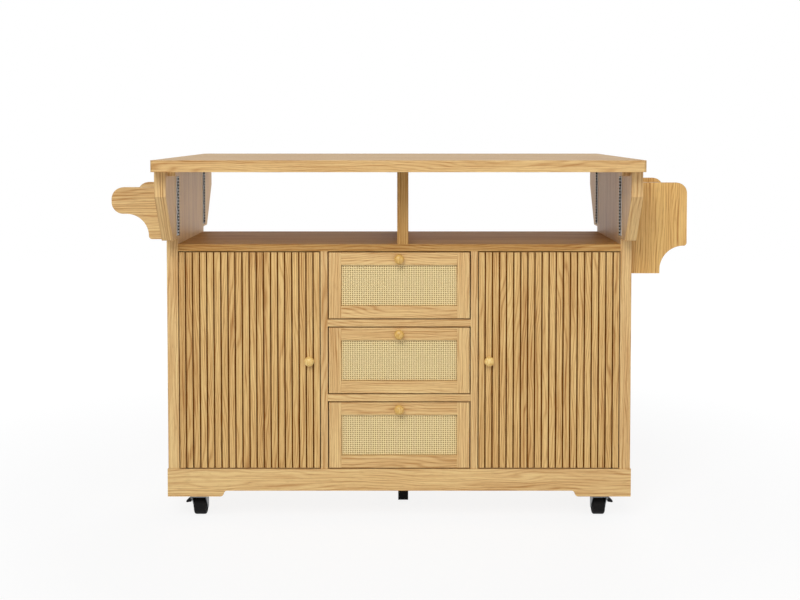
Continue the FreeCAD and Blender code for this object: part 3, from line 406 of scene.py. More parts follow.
def mottled(name, light, dark, grain, roughness, metallic=0.0, gloss=0.5, stretch=(1, 1, 1)):
    """A finish with a fine mottle of two tones. Grain is the size of the mottle in metres."""
    material, shader = new_material(name)
    place = add(material, "ShaderNodeTexCoord").outputs["Object"]
    mapping = add(
        material, "ShaderNodeMapping", links={"Vector": place},
        values={"Scale": [1 / (grain * s) for s in stretch]},
    )
    noise = add(
        material, "ShaderNodeTexNoise", links={"Vector": mapping.outputs["Vector"]},
        values={"Scale": 1.0, "Detail": MOTTLE_DETAIL},
    ).outputs["Fac"]
    colour = add(
        material, "ShaderNodeValToRGB", links={"Fac": noise},
        stops=[(stop, linear(code)) for stop, code in zip(MOTTLE_RANGE, (dark, light))],
    )
    shine = add(
        material, "ShaderNodeMapRange", links={"Value": noise},
        values={
            "From Min": MOTTLE_RANGE[0], "From Max": MOTTLE_RANGE[1],
            "To Min": roughness - MOTTLE_SHINE, "To Max": roughness + MOTTLE_SHINE,
        },
    )
    bump = add(
        material, "ShaderNodeBump", links={"Height": noise},
        values={"Strength": MOTTLE_RELIEF, "Distance": grain * MOTTLE_DEPTH},
    )
    links = material.node_tree.links
    links.new(colour.outputs["Color"], shader.inputs["Base Color"])
    links.new(shine.outputs[0], shader.inputs["Roughness"])
    links.new(bump.outputs[0], shader.inputs["Normal"])
    shader.inputs["Metallic"].default_value = metallic
    shader.inputs["Specular IOR Level"].default_value = gloss
    return material


BEECH = mottled("turned_beech", "f8e09a", "d9a850", 2.4 * MM, 0.34, stretch=(1, 1, 6))
BEECH_DRAWER = mottled("turned_beech_darker", "e8c476", "c8963e", 2.4 * MM, 0.4, stretch=(1, 1, 6))
# Painted shade: the board behind the cane is brown, for the shade seen through the holes of the
# weave.
LINER_PAINTED_SHADE = mottled("cane_liner_painted_shade", "a17a3c", "8b682e", 2 * MM, 0.7, gloss=0.1)
# A dark brown painted shade for the grooves of the doors and the gap round the drawer fronts.
DARK_BROWN_PAINTED_SHADE = mottled("groove_and_gap_painted_shade", "7e4710", "5c3207", 6 * MM, 0.6, gloss=0.05, stretch=(1, 1, 6))
MELAMINE = mottled("pale_melamine", "ead9b6", "e0cba2", 8 * MM, 0.5)
ZINC = mottled("zinc_plated_steel", "b4b7ba", "94979a", 3 * MM, 0.32, metallic=1.0)
# A darker zinc as painted shade, for the forks and caster plates that sit in the shade under the
# unit.
FORK_STEEL_PAINTED_SHADE = mottled("zinc_forks_painted_shade", "84878a", "5e6164", 3 * MM, 0.4, metallic=1.0)
# Painted shade: the door pins are near black, for the shaded gap beside the doors where they sit.
PIN_STEEL_PAINTED_SHADE = mottled("door_pins_painted_shade", "3a332b", "2a241e", 2 * MM, 0.55, metallic=1.0)
RUBBER = mottled("moulded_rubber", "191919", "0e0e0f", 1.2 * MM, 0.62, gloss=0.12)
PLASTIC = mottled("black_plastic", "1b1b1c", "111112", 0.8 * MM, 0.48, gloss=0.15)
LACQUER = mottled("black_lacquer", "0e0e0e", "090908", 6 * MM, 0.5, gloss=0.08)
print("finishes made")

# %% [markdown]
# ## The piano hinges
# A piano hinge is a rolled zinc-plated strip: flat leaves, and a barrel of short knuckles whose
# joints and curled edges lie in shade. The barrel is found by its distance from the hinge line,
# and dark bands cross it as painted shade for those joints and edges. The leaves are painted
# lighter than the zinc as a painted highlight. Real knuckle joints are a hairline, and are drawn
# wider here so that they show.

# %% Make the piano hinge finish
HINGE_LINE = 200 * MM
BARREL_REACH = 2.7 * MM
KNUCKLE_BAND = 8 * MM
# Painted shade: near-black bands on the barrel, for the shade in the knuckle joints and curled
# edges.
KNUCKLE_SHADE_STOPS = ((0.2, "0a0a0a"), (0.7, "b4b4b2"))
# Painted highlight: the leaves are lighter than the zinc, so that a leaf's edge shows as a bright
# line.
LEAF_HIGHLIGHT_COLOUR = "e6e6e4"
HINGE_ROUGHNESS = 0.34


def piano_hinge():
    """Leaves lightened as a painted highlight and a barrel banded with painted shade, in
    zinc-plated steel.
    """
    material, shader = new_material("zinc_piano_hinge_painted_shade_and_highlight")
    place = add(material, "ShaderNodeTexCoord").outputs["Object"]
    split = add(material, "ShaderNodeSeparateXYZ", links={"Vector": place})
    depth = add(material, "ShaderNodeMath", operation="ABSOLUTE", links={0: split.outputs["Y"]})
    barrel = add(
        material, "ShaderNodeMath", operation="COMPARE",
        links={0: depth.outputs[0]}, values={1: HINGE_LINE, 2: BARREL_REACH},
    )
    turns = add(
        material, "ShaderNodeMath", operation="MULTIPLY",
        links={0: split.outputs["Z"]}, values={1: math.tau / KNUCKLE_BAND},
    )
    wave = add(material, "ShaderNodeMath", operation="SINE", links={0: turns.outputs[0]})
    # The knuckle bands are painted shade.
    knuckle_shade = add(
        material, "ShaderNodeValToRGB", links={"Fac": wave.outputs[0]},
        stops=[(stop, linear(code)) for stop, code in KNUCKLE_SHADE_STOPS],
    )
    colour = add(
        material, "ShaderNodeMix", data_type="RGBA",
        links={"Factor": barrel.outputs[0], "B": knuckle_shade.outputs["Color"]},
        values={"A": linear(LEAF_HIGHLIGHT_COLOUR)},
    )
    material.node_tree.links.new(colour.outputs["Result"], shader.inputs["Base Color"])
    shader.inputs["Metallic"].default_value = 1.0
    shader.inputs["Roughness"].default_value = HINGE_ROUGHNESS
    return material


PIANO_HINGE = piano_hinge()
print("hinge finish made")


# %% Dress a piece
def dress(piece, body, slot, material, *nodes):
    """Give a piece its finish and the body it moves with, and hide the nodes that it stands for."""
    piece.data.materials.clear()
    piece.data.materials.append(material)
    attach(piece, body)
    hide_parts(*nodes)
    return piece


def boards(node, grain, slot="oak_laminate", material=OAK):
    """The solids of a cabinet node as boards with rounded arrises."""
    members = loose_copies(node)
    for member in members:
        soften(member)
        lay_grain(member, grain)
    dress(join(f"{node}_dressed", members), "cabinet", slot, material, node)


# %% [markdown]
# ## The carcass
# Worktop, side panels, shelf, partitions, rails and racks are plain boards and bars. Their
# outlines are already right, so each is copied, its triangles are merged back to whole faces, and
# its arrises are rounded. The grain is upright on sides and partitions and runs the long way of
# the worktop, the shelf and the rails. The open shelf and its divider have a darker film as
# painted shade, for the shade under the worktop's overhang. The right rack has a deeper film as
# painted shade, for the shadow that the worktop and brackets cast on it.

# %% Dress the boards
GRAIN_OF = {
    "side_panel_left": "Z",
    "side_panel_right": "Z",
    "partitions": "Z",
    "back_panel": "Z",
    "drawer_rails": "X",
    "bottom_board": "X",
    "loose_shelves": "X",
    "corner_blocks": "X",
    "plinth_side_boards": "Y",
    "rack_left_end_panels": "X",
    "rack_mounting_boards": "Y",
    "rack_right_rest_slats": "Y",
    "rack_left_roll_bar": "Y",
    "rack_right_hanging_bar": "Y",
}
WORKTOP_NODES = ("worktop_centre_board", "worktop_front_leaf", "worktop_rear_leaf")
SHELF_GRAIN_OF = {"open_shelf_board": "X", "open_shelf_divider": "Z"}

for node, grain in GRAIN_OF.items():
    boards(node, grain)
for node in WORKTOP_NODES:
    boards(node, "X", slot="oak_worktop", material=OAK_TOP)
# The open shelf and its divider get the darker film of painted shade.
for node, grain in SHELF_GRAIN_OF.items():
    boards(node, grain, material=OAK_SHELF_PAINTED_SHADE)
# The right rack's end panels get the deeper film of painted shade.
boards("rack_right_end_panels", "Z", material=OAK_RACK_PAINTED_SHADE)
print("boards dressed:", len(GRAIN_OF) + len(WORKTOP_NODES) + len(SHELF_GRAIN_OF) + 1)

# %% [markdown]
# ## The rack shelf
# The shelf and its guard touch, so they are made as two planks from the box that they fill.

# %% Make the rack shelf
BOARD = 18 * MM
low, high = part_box("rack_right_shelf_and_guard")
shelf = plank("rack_shelf", low, (high.x - BOARD, high.y, low.z + BOARD), "Y")
guard = plank("rack_guard", (high.x - BOARD, low.y, low.z), high, "Y")
dress(
    join("rack_shelf_and_guard", [shelf, guard]), "cabinet", "oak_laminate", OAK,
    "rack_right_shelf_and_guard",
)
print("rack shelf made")

# %% [markdown]
# ## The plinth
# Front and rear plinth boards run the full width and step down to a foot at each end in a small
# S-curve. The parts of the frame are joined by a union, so that the film runs on over the foot.

# %% Make the long plinth boards
UNION_WELD = 0.01 * MM


def plinth_board(node):
    """One board with its two feet, made whole."""
    rail, *feet = loose_copies(node)
    for foot in feet:
        use(rail, "BOOLEAN", operation="UNION", object=foot, solver="EXACT")
        bpy.data.objects.remove(foot)
    only(rail)
    bpy.ops.object.mode_set(mode="EDIT")
    bpy.ops.mesh.select_all(action="SELECT")
    bpy.ops.mesh.remove_doubles(threshold=UNION_WELD)
    bpy.ops.mesh.dissolve_limited(angle_limit=FLAT_TURN)
    bpy.ops.mesh.normals_make_consistent(inside=False)
    bpy.ops.object.mode_set(mode="OBJECT")
    soften(rail)
    lay_grain(rail, "X")
    rail.name = f"{node}_dressed"
    return dress(rail, "cabinet", "oak_laminate", OAK, node)


for node in ("plinth_front_board", "plinth_rear_board"):
    piece = plinth_board(node)
    print(node, len(piece.data.polygons), "faces")

# %% [markdown]
# ## The brackets
# Each bracket is a board with a small block on its inner face and the moving leaf of a piano
# hinge. The leaf is steel, so it becomes a piece of its own that moves with the bracket. Its
# knuckles give it more corners than any board has, which tells it from them.

# %% Make the brackets
CORNERS = [(end, name) for end in ("front", "rear") for name in ("left", "right")]


def bracket(end, name):
    """The wooden part and the steel hinge leaf of one bracket."""
    node = f"bracket_{end}_{name}"
    body = f"{end}_{name}_bracket"
    solids = loose_copies(node)
    leaf = max(solids, key=lambda piece: len(piece.data.vertices))
    wood = [piece for piece in solids if piece is not leaf]
    for member in wood:
        soften(member)
        lay_grain(member, "Z")
    dress(join(f"{node}_wood", wood), body, "oak_laminate", OAK, node)
    only(leaf)
    bpy.ops.object.shade_smooth_by_angle(angle=math.radians(CREASE))
    leaf.name = f"{node}_leaf"
    dress(leaf, body, "zinc_steel", PIANO_HINGE, node)


for end, name in CORNERS:
    bracket(end, name)
print("brackets made")

# %% [markdown]
# ## The slatted doors
# The face of a door is a row of upright slats with narrow dark grooves between them, milled into
# one board. A row of rounded strips on a backing board gives the same shape, and the strips can
# be modelled once and repeated. The film runs on from slat to slat, as it was laid before milling.
# The flanks and the bed of a groove are given a dark brown painted shade, for the shade deep in
# the grooves, so these faces are picked out by their place and normal and given the second
# finish. The outer edges of the door keep the film. The film of the doors has a stronger figure.

# %% Make the doors
SLATS = 20
GROOVE = 3.4 * MM
GROOVE_DEPTH = 4 * MM
SLAT_ARRIS = 0.6 * MM
SLAT_BEDDING = 1 * MM


def door(name):
    """One door: a backing board and its slats."""
    low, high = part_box(f"door_{name}")
    bed = low.y + GROOVE_DEPTH
    members = [plank("door_back", (low.x, bed, low.z), high, "Z")]
    pitch = (high.x - low.x + GROOVE) / SLATS
    first = plank(
        "slat", low, (low.x + pitch - GROOVE, bed + SLAT_BEDDING, high.z), "Z",
        arris=SLAT_ARRIS, segments=3, same_film=True,
    )
    members.append(first)
    for index in range(1, SLATS):
        slat = twin(first, Vector((pitch * index, 0, 0)))
        lay_grain(slat, "Z", same_film=True)
        members.append(slat)
    piece = join(f"door_{name}_dressed", members)
    dress(piece, f"{name}_door", "oak_laminate", OAK_DOOR, f"door_{name}")
    # The second finish is the dark brown painted shade, on the bed and flanks of each groove.
    piece.data.materials.append(DARK_BROWN_PAINTED_SHADE)
    for face in piece.data.polygons:
        inside = low.x + SLAT_ARRIS < face.center.x < high.x - SLAT_ARRIS
        on_bed = face.normal.y < -FACING and face.center.y > bed - SLAT_BEDDING / 2
        on_flank = inside and abs(face.normal.x) > FACING and face.center.y < bed + SLAT_BEDDING
        face.material_index = int(on_bed or on_flank)
    return piece


for name in ("left", "right"):
    print(door(name).name, "has", SLATS, "slats")

# %% [markdown]
# ## The drawer fronts
# Each front is a frame of two stiles and two rails round a window of woven cane. The frame is
# four planks, with upright grain on the stiles and level grain on the rails. The faces of the
# outer front arris are picked out and given a thin dark rim of painted shade, for the shade in
# the gap round the front.

# %% Make the drawer frames
MEMBER = 32 * MM
# The faces of the front arris turn from side to front: their normals hold this share of the front.
ARRIS_TURN = (0.03, 0.97)
DRAWERS = ("bottom", "middle", "top")


def drawer_frame(name):
    """Two stiles and two rails, with a dark rim of painted shade round the front."""
    node = f"drawer_{name}_front_frame"
    low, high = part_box(node)
    left, right = low.x + MEMBER, high.x - MEMBER
    bottom, top = low.z + MEMBER, high.z - MEMBER
    members = [
        plank("stile", low, (left, high.y, high.z), "Z"),
        plank("stile", (right, low.y, low.z), high, "Z"),
        plank("rail", (left, low.y, low.z), (right, high.y, bottom), "X"),
        plank("rail", (left, low.y, top), (right, high.y, high.z), "X"),
    ]
    piece = join(f"{node}_dressed", members)
    dress(piece, f"{name}_drawer", "oak_laminate", OAK, node)
    # The faces of the outer front arris get the dark brown painted shade, for the gap round the
    # front.
    piece.data.materials.append(DARK_BROWN_PAINTED_SHADE)
    for face in piece.data.polygons:
        place = face.center
        rim = min(place.x - low.x, high.x - place.x, place.z - low.z, high.z - place.z)
        rounded = ARRIS_TURN[0] < -face.normal.y < ARRIS_TURN[1]
        face.material_index = int(rim < ARRIS and rounded)


for name in DRAWERS:
    drawer_frame(name)
print("drawer frames made")

# %% [markdown]
# ## The woven cane
# Cane webbing is split cane woven over and under in an open grid, with a board behind it. The
# grid shows in the photograph, so it is woven in real strips: a grid plane is waved over and
# under its neighbours, given a thickness, and repeated across the window.

# %% Weave the cane
# How far the middle of the weave and the board behind it lie back from the front of the panel.
CANE_DEPTH = 1 * MM
LINER_DEPTH = 2 * MM
CANE_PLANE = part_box("drawer_top_cane_panel")[0].y + CANE_DEPTH
CANE_COLUMNS = 51
CANE_ROWS = 20
# A strand's width as a share of its pitch, its thickness, and how far its middle stands out.
STRAND_SHARE = 0.6
STRAND_THICK = 0.5 * MM
STRAND_CROWN = STRAND_THICK / 3
# How far a strand rises and dips, and the steps that its plane has from one neighbour to the next.
WEAVE_HEIGHT = 0.4 * MM
STEPS_PER_CROSSING = 2
# The size of the flecks in the cane and what they add to its tone, and its colours by tone. The
# tone deepens the further back a strand lies, so its brown end is painted shade in the dips.
FLECK = 3 * MM
FLECK_SHARE = 0.3
CANE_STOPS = ((0.2, "efdba4"), (0.7, "b38743"), (1.0, "8c6128"))
CANE_ROUGHNESS = 0.5
CANE_RELIEF = 0.2
CANE_RELIEF_DEPTH = 0.3 * MM


def woven_cane():
    """Split cane: cream where a strand rises, brown as painted shade where it dips under its
    neighbours.
    """
    material, shader = new_material("split_cane")
    place = add(material, "ShaderNodeTexCoord").outputs["Object"]
    split = add(material, "ShaderNodeSeparateXYZ", links={"Vector": place})
    # Painted shade: the deeper a strand lies in the weave, the browner it is.
    dip_shade = add(
        material, "ShaderNodeMapRange", links={"Value": split.outputs["Y"]},
        values={"From Min": CANE_PLANE - WEAVE_HEIGHT, "From Max": CANE_PLANE + WEAVE_HEIGHT / 2},
    )
    mapping = add(
        material, "ShaderNodeMapping", links={"Vector": place},
        values={"Scale": [1 / FLECK] * 3},
    )
    noise = add(
        material, "ShaderNodeTexNoise", links={"Vector": mapping.outputs["Vector"]},
        values={"Scale": 1.0, "Detail": MOTTLE_DETAIL},
    )
    tone = add(
        material, "ShaderNodeMath", operation="MULTIPLY_ADD",
        links={0: noise.outputs["Fac"], 2: dip_shade.outputs["Result"]}, values={1: FLECK_SHARE},
    )
    colour = add(
        material, "ShaderNodeValToRGB", links={"Fac": tone.outputs[0]},
        stops=[(stop, linear(code)) for stop, code in CANE_STOPS],
    )
    relief = add(
        material, "ShaderNodeBump", links={"Height": noise.outputs["Fac"]},
        values={"Strength": CANE_RELIEF, "Distance": CANE_RELIEF_DEPTH},
    )
    links = material.node_tree.links
    links.new(colour.outputs["Color"], shader.inputs["Base Color"])
    links.new(relief.outputs[0], shader.inputs["Normal"])
    shader.inputs["Roughness"].default_value = CANE_ROUGHNESS
    return material


CANE = woven_cane()


def strand(length, width, crossings, phase):
    """A flat strip along X that passes over and under as many neighbours as there are crossings."""
    bpy.ops.object.select_all(action="DESELECT")
    steps = crossings * STEPS_PER_CROSSING
    bpy.ops.mesh.primitive_grid_add(
        x_subdivisions=steps, y_subdivisions=2, size=1, rotation=(math.radians(90), 0, 0),
    )
    piece = bpy.context.active_object
    piece.scale = (length, width, 1)
    piece.location = (0, CANE_PLANE, 0)
    settle(piece)
    wave = 2 * STEPS_PER_CROSSING
    for over in (1, -1):
        crest = STEPS_PER_CROSSING - over
        nudge(
            piece,
            lambda place: round((place.x / length + 0.5) * steps) % wave == crest,
            (0, -phase * over * WEAVE_HEIGHT, 0),
        )
    nudge(piece, lambda place: abs(place.z) < width / 4, (0, -STRAND_CROWN, 0))
    use(piece, "SOLIDIFY", thickness=STRAND_THICK, offset=0)
    only(piece)
    bpy.ops.object.shade_smooth()
    return piece


def upright(piece):
    """Turn a level strip upright."""
    only(piece)
    bpy.ops.transform.rotate(value=math.radians(90), orient_axis="Y", center_override=(0, 0, 0))
    settle(piece)
    return piece


def cane_panel(name):
    """Woven cane in its window, and the board behind it."""
    node = f"drawer_{name}_cane_panel"
    body = f"{name}_drawer"
    low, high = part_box(node)
    middle = (low + high) / 2
    width, height = high.x - low.x, high.z - low.z
    column, row = width / CANE_COLUMNS, height / CANE_ROWS
    levels = [strand(width, row * STRAND_SHARE, CANE_COLUMNS, phase) for phase in (1, -1)]
    uprights = [
        upright(strand(height, column * STRAND_SHARE, CANE_ROWS, phase)) for phase in (1, -1)
    ]
    members = []
    for index in range(CANE_ROWS):
        place = Vector((middle.x, 0, low.z + row * (index + 0.5)))
        members.append(twin(levels[index % 2], place))
    for index in range(CANE_COLUMNS):
        place = Vector((low.x + column * (index + 0.5), 0, middle.z))
        members.append(twin(uprights[(index + 1) % 2], place))
    for pattern in levels + uprights:
        bpy.data.objects.remove(pattern)
    dress(join(f"cane_{name}", members), body, "woven_cane", CANE, node)
    # The board behind the cane has the brown of painted shade.
    liner = plank(f"cane_liner_{name}", (low.x, low.y + LINER_DEPTH, low.z), high, "X")
    dress(liner, body, "woven_cane", LINER_PAINTED_SHADE, node)


for name in DRAWERS:
    cane_panel(name)
print("cane woven:", CANE_COLUMNS, "by", CANE_ROWS)

# %% [markdown]
# ## The drawer boxes
# Plain boards of pale melamine with a steel slide on each side. They show only when a drawer is
# open.

# %% Make the drawer boxes
BOX_SIDE = 12 * MM
BOX_FLOOR = 6 * MM
SLIDE_REACH = 11.8 * MM
SLIDE_LEVEL = 50 * MM
SLIDE_HALF = 6.3 * MM
SLIDE_SHEET = 1.2 * MM
SLIDE_ARRIS = 0.2 * MM


def drawer_box(name):
    """Inner front, sides, back and bottom, and the folded slides."""
    node = f"drawer_{name}_box"
    body = f"{name}_drawer"
    low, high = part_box(node)
    outer = high.x - SLIDE_REACH
    inner = outer - BOX_SIDE
    behind = low.y + BOX_SIDE
    back = high.y - BOX_SIDE
    wood = [
        plank("inner_front", (-outer, low.y, low.z), (outer, behind, high.z), "X"),
        plank("box_back", (-inner, back, low.z), (inner, high.y, high.z), "X"),
        plank("box_bottom", (-inner, behind, low.z), (inner, back, low.z + BOX_FLOOR), "X"),
    ]
    steel = []
    middle = low.z + SLIDE_LEVEL
    for side in (-1, 1):
        edges = sorted((side * inner, side * outer))
        wood.append(plank("box_side", (edges[0], behind, low.z), (edges[1], high.y, high.z), "Y"))
        web = sorted((side * outer, side * (outer + SLIDE_SHEET)))
        reach = sorted((side * outer, side * high.x))
        steel.append(plank(
            "slide_web", (web[0], behind, middle - SLIDE_HALF),
            (web[1], high.y, middle + SLIDE_HALF), "Y", SLIDE_ARRIS,
        ))
        for edge in (-1, 1):
            levels = sorted((edge * SLIDE_HALF, edge * (SLIDE_HALF + SLIDE_SHEET)))
            steel.append(plank(
                "slide_lip", (reach[0], behind, middle + levels[0]),
                (reach[1], high.y, middle + levels[1]), "Y", SLIDE_ARRIS,
            ))
    dress(join(f"drawer_{name}_boards", wood), body, "drawer_board", MELAMINE, node)
    dress(join(f"drawer_{name}_slides", steel), body, "zinc_steel", ZINC, node)


for name in DRAWERS:
    drawer_box(name)
print("drawer boxes made")

# %% [markdown]
# ## The knobs
# Small turned knobs of pale beech: a foot, a waist and a domed head. A sphere is cut below its
# widest part, and the cut edge is drawn back in steps to make the waist and the foot. The knobs of
# the drawers are a little darker than those of the doors.

# %% Turn the knobs
KNOB_RADIUS = 12.5 * MM
KNOB_LENGTH = 25 * MM
KNOB_SMOOTH = 40
# The head is a sphere of this share of the knob's radius, spread to its full width and flattened.
HEAD_SHARE = 0.98
HEAD_FLATNESS = 0.8
# Where the head is cut, and the steps from there to the foot: the width of each against the one
# before, and its height. Heights are shares of the knob's length.
HEAD_CUT = 0.38
NECK_STEPS = ((0.86, 0.30), (0.92, 0.24), (1.0, 0.16), (1.08, 0.08), (1.1, 0.03), (0.96, 0.0))


def turned_knob():
    """A knob whose foot stands at the origin and whose head points along -Y."""
    bpy.ops.object.select_all(action="DESELECT")
    head = KNOB_RADIUS * HEAD_SHARE
    bpy.ops.mesh.primitive_uv_sphere_add(segments=40, ring_count=24, radius=head)
    piece = bpy.context.active_object
    piece.scale = (1 / HEAD_SHARE, 1 / HEAD_SHARE, HEAD_FLATNESS)
    piece.location = (0, 0, KNOB_LENGTH - head * HEAD_FLATNESS)
    settle(piece)
    bpy.ops.object.mode_set(mode="EDIT")
    bpy.ops.mesh.select_all(action="SELECT")
    bpy.ops.mesh.bisect(
        plane_co=(0, 0, KNOB_LENGTH * HEAD_CUT), plane_no=(0, 0, 1), clear_inner=True,
    )
    level = HEAD_CUT
    for share, height in NECK_STEPS:
        bpy.ops.mesh.extrude_region_move(
            TRANSFORM_OT_translate={"value": (0, 0, (height - level) * KNOB_LENGTH)},
        )
        bpy.ops.transform.resize(value=(share, share, 1))
        level = height
    bpy.ops.mesh.edge_face_add()
    bpy.ops.mesh.select_all(action="SELECT")
    bpy.ops.mesh.normals_make_consistent(inside=False)
    bpy.ops.transform.rotate(value=math.radians(-90), orient_axis="X", center_override=(0, 0, 0))
    bpy.ops.object.mode_set(mode="OBJECT")
    bpy.ops.object.shade_smooth_by_angle(angle=math.radians(KNOB_SMOOTH))
    return piece


pattern = turned_knob()
print("knob spans", [round(v / MM, 1) for v in pattern.dimensions])
for label in ("door_left", "door_right", "drawer_bottom", "drawer_middle", "drawer_top"):
    low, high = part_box(f"{label}_knob")
    knob = twin(pattern, Vector(((low.x + high.x) / 2, high.y, (low.z + high.z) / 2)))
    knob.name = f"{label}_knob_dressed"
    kind, which = label.split("_")
    finish = BEECH if kind == "door" else BEECH_DRAWER
    dress(knob, f"{which}_{kind}", "turned_beech", finish, f"{label}_knob")
bpy.data.objects.remove(pattern)

# %% [markdown]
# ## The casters
# Pressed zinc forks with black wheels. The wheel is a cylinder whose edges are rounded and whose
# sides are inset and pushed in; forks and pedals keep the frame's shape with softened edges.

# %% Make the wheels
WHEEL_SIDES = 64
TREAD_ROUNDING = 0.16
TREAD_CREASE = 60
WHEEL_SMOOTH = 35
# The steps of a wheel's side from the tread to the hub: how far each is set in as a share of the
# radius, and how far it is pushed out as a share of the width.
DISH_STEPS = ((0.06, 0), (0.04, -0.09), (0.36, 0), (0.05, 0.08), (0.12, 0))


def wheel(node):
    """A wide wheel with rounded treads and dished sides."""
    low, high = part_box(node)
    radius = (high.z - low.z) / 2
    width = high.x - low.x
    bpy.ops.object.select_all(action="DESELECT")
    bpy.ops.mesh.primitive_cylinder_add(vertices=WHEEL_SIDES, radius=radius, depth=width)
    piece = bpy.context.active_object
    use(
        piece, "BEVEL", width=width * TREAD_ROUNDING, segments=5, limit_method="ANGLE",
        angle_limit=math.radians(TREAD_CREASE),
    )
    bpy.ops.object.mode_set(mode="EDIT")
    bpy.ops.mesh.select_mode(type="FACE")
    for side in (1, -1):
        for inset, push in DISH_STEPS:
            bpy.ops.object.mode_set(mode="OBJECT")
            for face in piece.data.polygons:
                face.select = len(face.vertices) == WHEEL_SIDES and face.normal.z * side > FACING
            bpy.ops.object.mode_set(mode="EDIT")
            bpy.ops.mesh.inset(thickness=radius * inset, depth=0)
            bpy.ops.transform.translate(value=(0, 0, width * push * side))
    bpy.ops.object.mode_set(mode="OBJECT")
    piece.rotation_euler = (0, math.radians(90), 0)
    piece.location = (low + high) / 2
    settle(piece)
    bpy.ops.object.shade_smooth_by_angle(angle=math.radians(WHEEL_SMOOTH))
    piece.name = f"{node}_dressed"
    return piece


for end, name in CORNERS:
    node = f"caster_wheel_{end}_{name}"
    dress(wheel(node), f"{end}_{name}_wheel", "black_rubber", RUBBER, node)
print("wheels made")

# %% Make the forks and pedals
FORK_ARRIS = 0.4 * MM
PEDAL_ARRIS = 0.6 * MM
PRESSED_CREASE = 40


def pressed(node, body, slot, material, width):
    """The solids of a node with softened edges, as pressed or moulded parts have."""
    members = loose_copies(node)
    for member in members:
        soften(member, width, angle=PRESSED_CREASE)
    dress(join(f"{node}_dressed", members), body, slot, material, node)


# The forks take the darker zinc of painted shade.
for end, name in CORNERS:
    body = f"{end}_{name}_swivel"
    pressed(f"caster_fork_{end}_{name}", body, "zinc_steel", FORK_STEEL_PAINTED_SHADE, FORK_ARRIS)
for name in ("left", "right"):
    pressed(f"brake_pedal_{name}", f"{name}_brake", "black_plastic", PLASTIC, PEDAL_ARRIS)
print("forks and pedals made")

# %% [markdown]
# ## Steel and lacquer on the frame's own parts
# Hinges, runners, pins and caster plates already have their real shape, so they only need their
# finish. The black post under the middle gets its lacquer and softened edges.

# %% Finish the frame's own parts
STEEL_FINISH = {
    "worktop_seam_hinges": ZINC,
    "drawer_runners": ZINC,
    "shelf_pins": ZINC,
    # The caster plates take the darker zinc of painted shade.
    "caster_plates": FORK_STEEL_PAINTED_SHADE,
    # The door pins are near black as painted shade.
    "door_pivot_pins": PIN_STEEL_PAINTED_SHADE,
    "bracket_hinges": PIANO_HINGE,
}
for node, finish in STEEL_FINISH.items():
    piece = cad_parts[node]
    piece.data.materials.clear()
    piece.data.materials.append(finish)
boards("centre_leg", "Z", slot="black_paint", material=LACQUER)
print("steel parts finished:", len(STEEL_FINISH))

# %% [markdown]
# ## The floor and the light
# A pale floor fades to white before its edge, so no horizon shows, and it keeps the soft shadow of
# the unit. Two large soft lamps in front, one behind and a pale sky light it as a studio does. The
# rear lamp lights the back evenly, and makes no highlight on the worktop.

# %% Make the floor
FLOOR_SIZE = 12
FLOOR_DROP = 0.2 * MM
FLOOR_COLOUR = "eff1f4"
FLOOR_ROUGHNESS = 0.9
FLOOR_WHITE = 1.03
# The distances at which the floor begins to turn white and is all white, and how white it is
# nearer than the first.
FADE_REACH = (0.9, 2.2)
SHADOW_FADE = 0.84


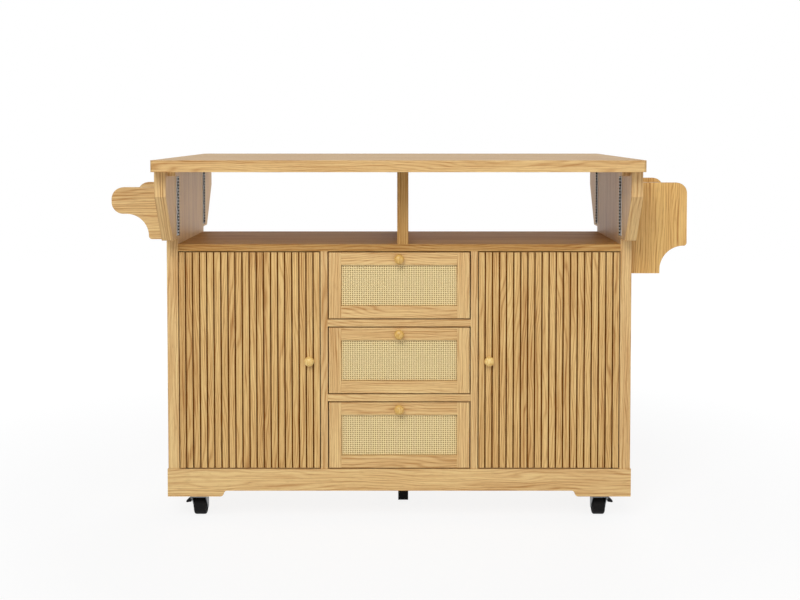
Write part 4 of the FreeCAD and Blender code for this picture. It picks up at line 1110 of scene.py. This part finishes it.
def floor_finish():
    """Pale paint that keeps the shadow near the object and is white for the camera far from it."""
    material, shader = new_material("studio_floor")
    shader.inputs["Base Color"].default_value = linear(FLOOR_COLOUR)
    shader.inputs["Roughness"].default_value = FLOOR_ROUGHNESS
    place = add(material, "ShaderNodeTexCoord").outputs["Object"]
    distance = add(material, "ShaderNodeVectorMath", operation="LENGTH", links={0: place})
    share = add(
        material, "ShaderNodeMapRange", links={"Value": distance.outputs["Value"]},
        values={
            "From Min": FADE_REACH[0], "From Max": FADE_REACH[1],
            "To Min": SHADOW_FADE, "To Max": 1.0,
        },
    )
    rays = add(material, "ShaderNodeLightPath")
    seen = add(
        material, "ShaderNodeMath", operation="MAXIMUM",
        links={0: rays.outputs["Is Camera Ray"], 1: rays.outputs["Is Glossy Ray"]},
    )
    fade = add(
        material, "ShaderNodeMath", operation="MULTIPLY",
        links={0: share.outputs[0], 1: seen.outputs[0]},
    )
    white = add(
        material, "ShaderNodeEmission", values={"Color": (1, 1, 1, 1), "Strength": FLOOR_WHITE},
    )
    surface = add(
        material, "ShaderNodeMixShader",
        links={0: fade.outputs[0], 1: shader.outputs[0], 2: white.outputs[0]},
    )
    output = next(node for node in material.node_tree.nodes if node.type == "OUTPUT_MATERIAL")
    material.node_tree.links.new(surface.outputs[0], output.inputs["Surface"])
    return material


bpy.ops.object.select_all(action="DESELECT")
bpy.ops.mesh.primitive_plane_add(size=FLOOR_SIZE, location=(0, 0, -FLOOR_DROP))
floor = bpy.context.active_object
floor.name = "floor"
floor.data.materials.append(floor_finish())
print("floor made")

# %% Set the lamps and the sky
SKY_LEVEL = 0.22


def softbox(name, place, target, size, power, glossy=True):
    """A square soft lamp that points at a target."""
    data = bpy.data.lights.new(name, "AREA")
    data.size = size
    data.energy = power
    lamp = bpy.data.objects.new(name, data)
    bpy.context.scene.collection.objects.link(lamp)
    lamp.location = place
    lamp.visible_glossy = glossy
    lamp.rotation_euler = (Vector(target) - Vector(place)).to_track_quat("-Z", "Y").to_euler()


softbox("key", (-1.3, -5.86, 4.7), (0, 0, 0.5), size=3.6, power=312)
softbox("fill", (3.3, -5.4, 0.9), (0, 0, 0.4), size=2.4, power=56)
softbox("rear", (1.4, 5.6, 1.8), (0, 0, 0.5), size=2.6, power=170, glossy=False)

world = bpy.data.worlds.new("studio")
bpy.context.scene.world = world
world.use_nodes = True
world.node_tree.nodes.clear()
sky_rays = add(world, "ShaderNodeLightPath")
seen_sky = add(
    world, "ShaderNodeMath", operation="MAXIMUM",
    links={0: sky_rays.outputs["Is Camera Ray"], 1: sky_rays.outputs["Is Glossy Ray"]},
)
seen_any = add(
    world, "ShaderNodeMath", operation="MAXIMUM",
    links={0: seen_sky.outputs[0], 1: sky_rays.outputs["Is Transmission Ray"]},
)
sky_level = add(
    world, "ShaderNodeMapRange", links={"Value": seen_any.outputs[0]},
    values={"To Min": SKY_LEVEL, "To Max": 1.0},
)
sky = add(
    world, "ShaderNodeBackground", links={"Strength": sky_level.outputs[0]},
    values={"Color": (1, 1, 1, 1)},
)
add(world, "ShaderNodeOutputWorld", links={"Surface": sky.outputs[0]})
bpy.context.scene.view_settings.view_transform = "Standard"
print("lamps and sky set")
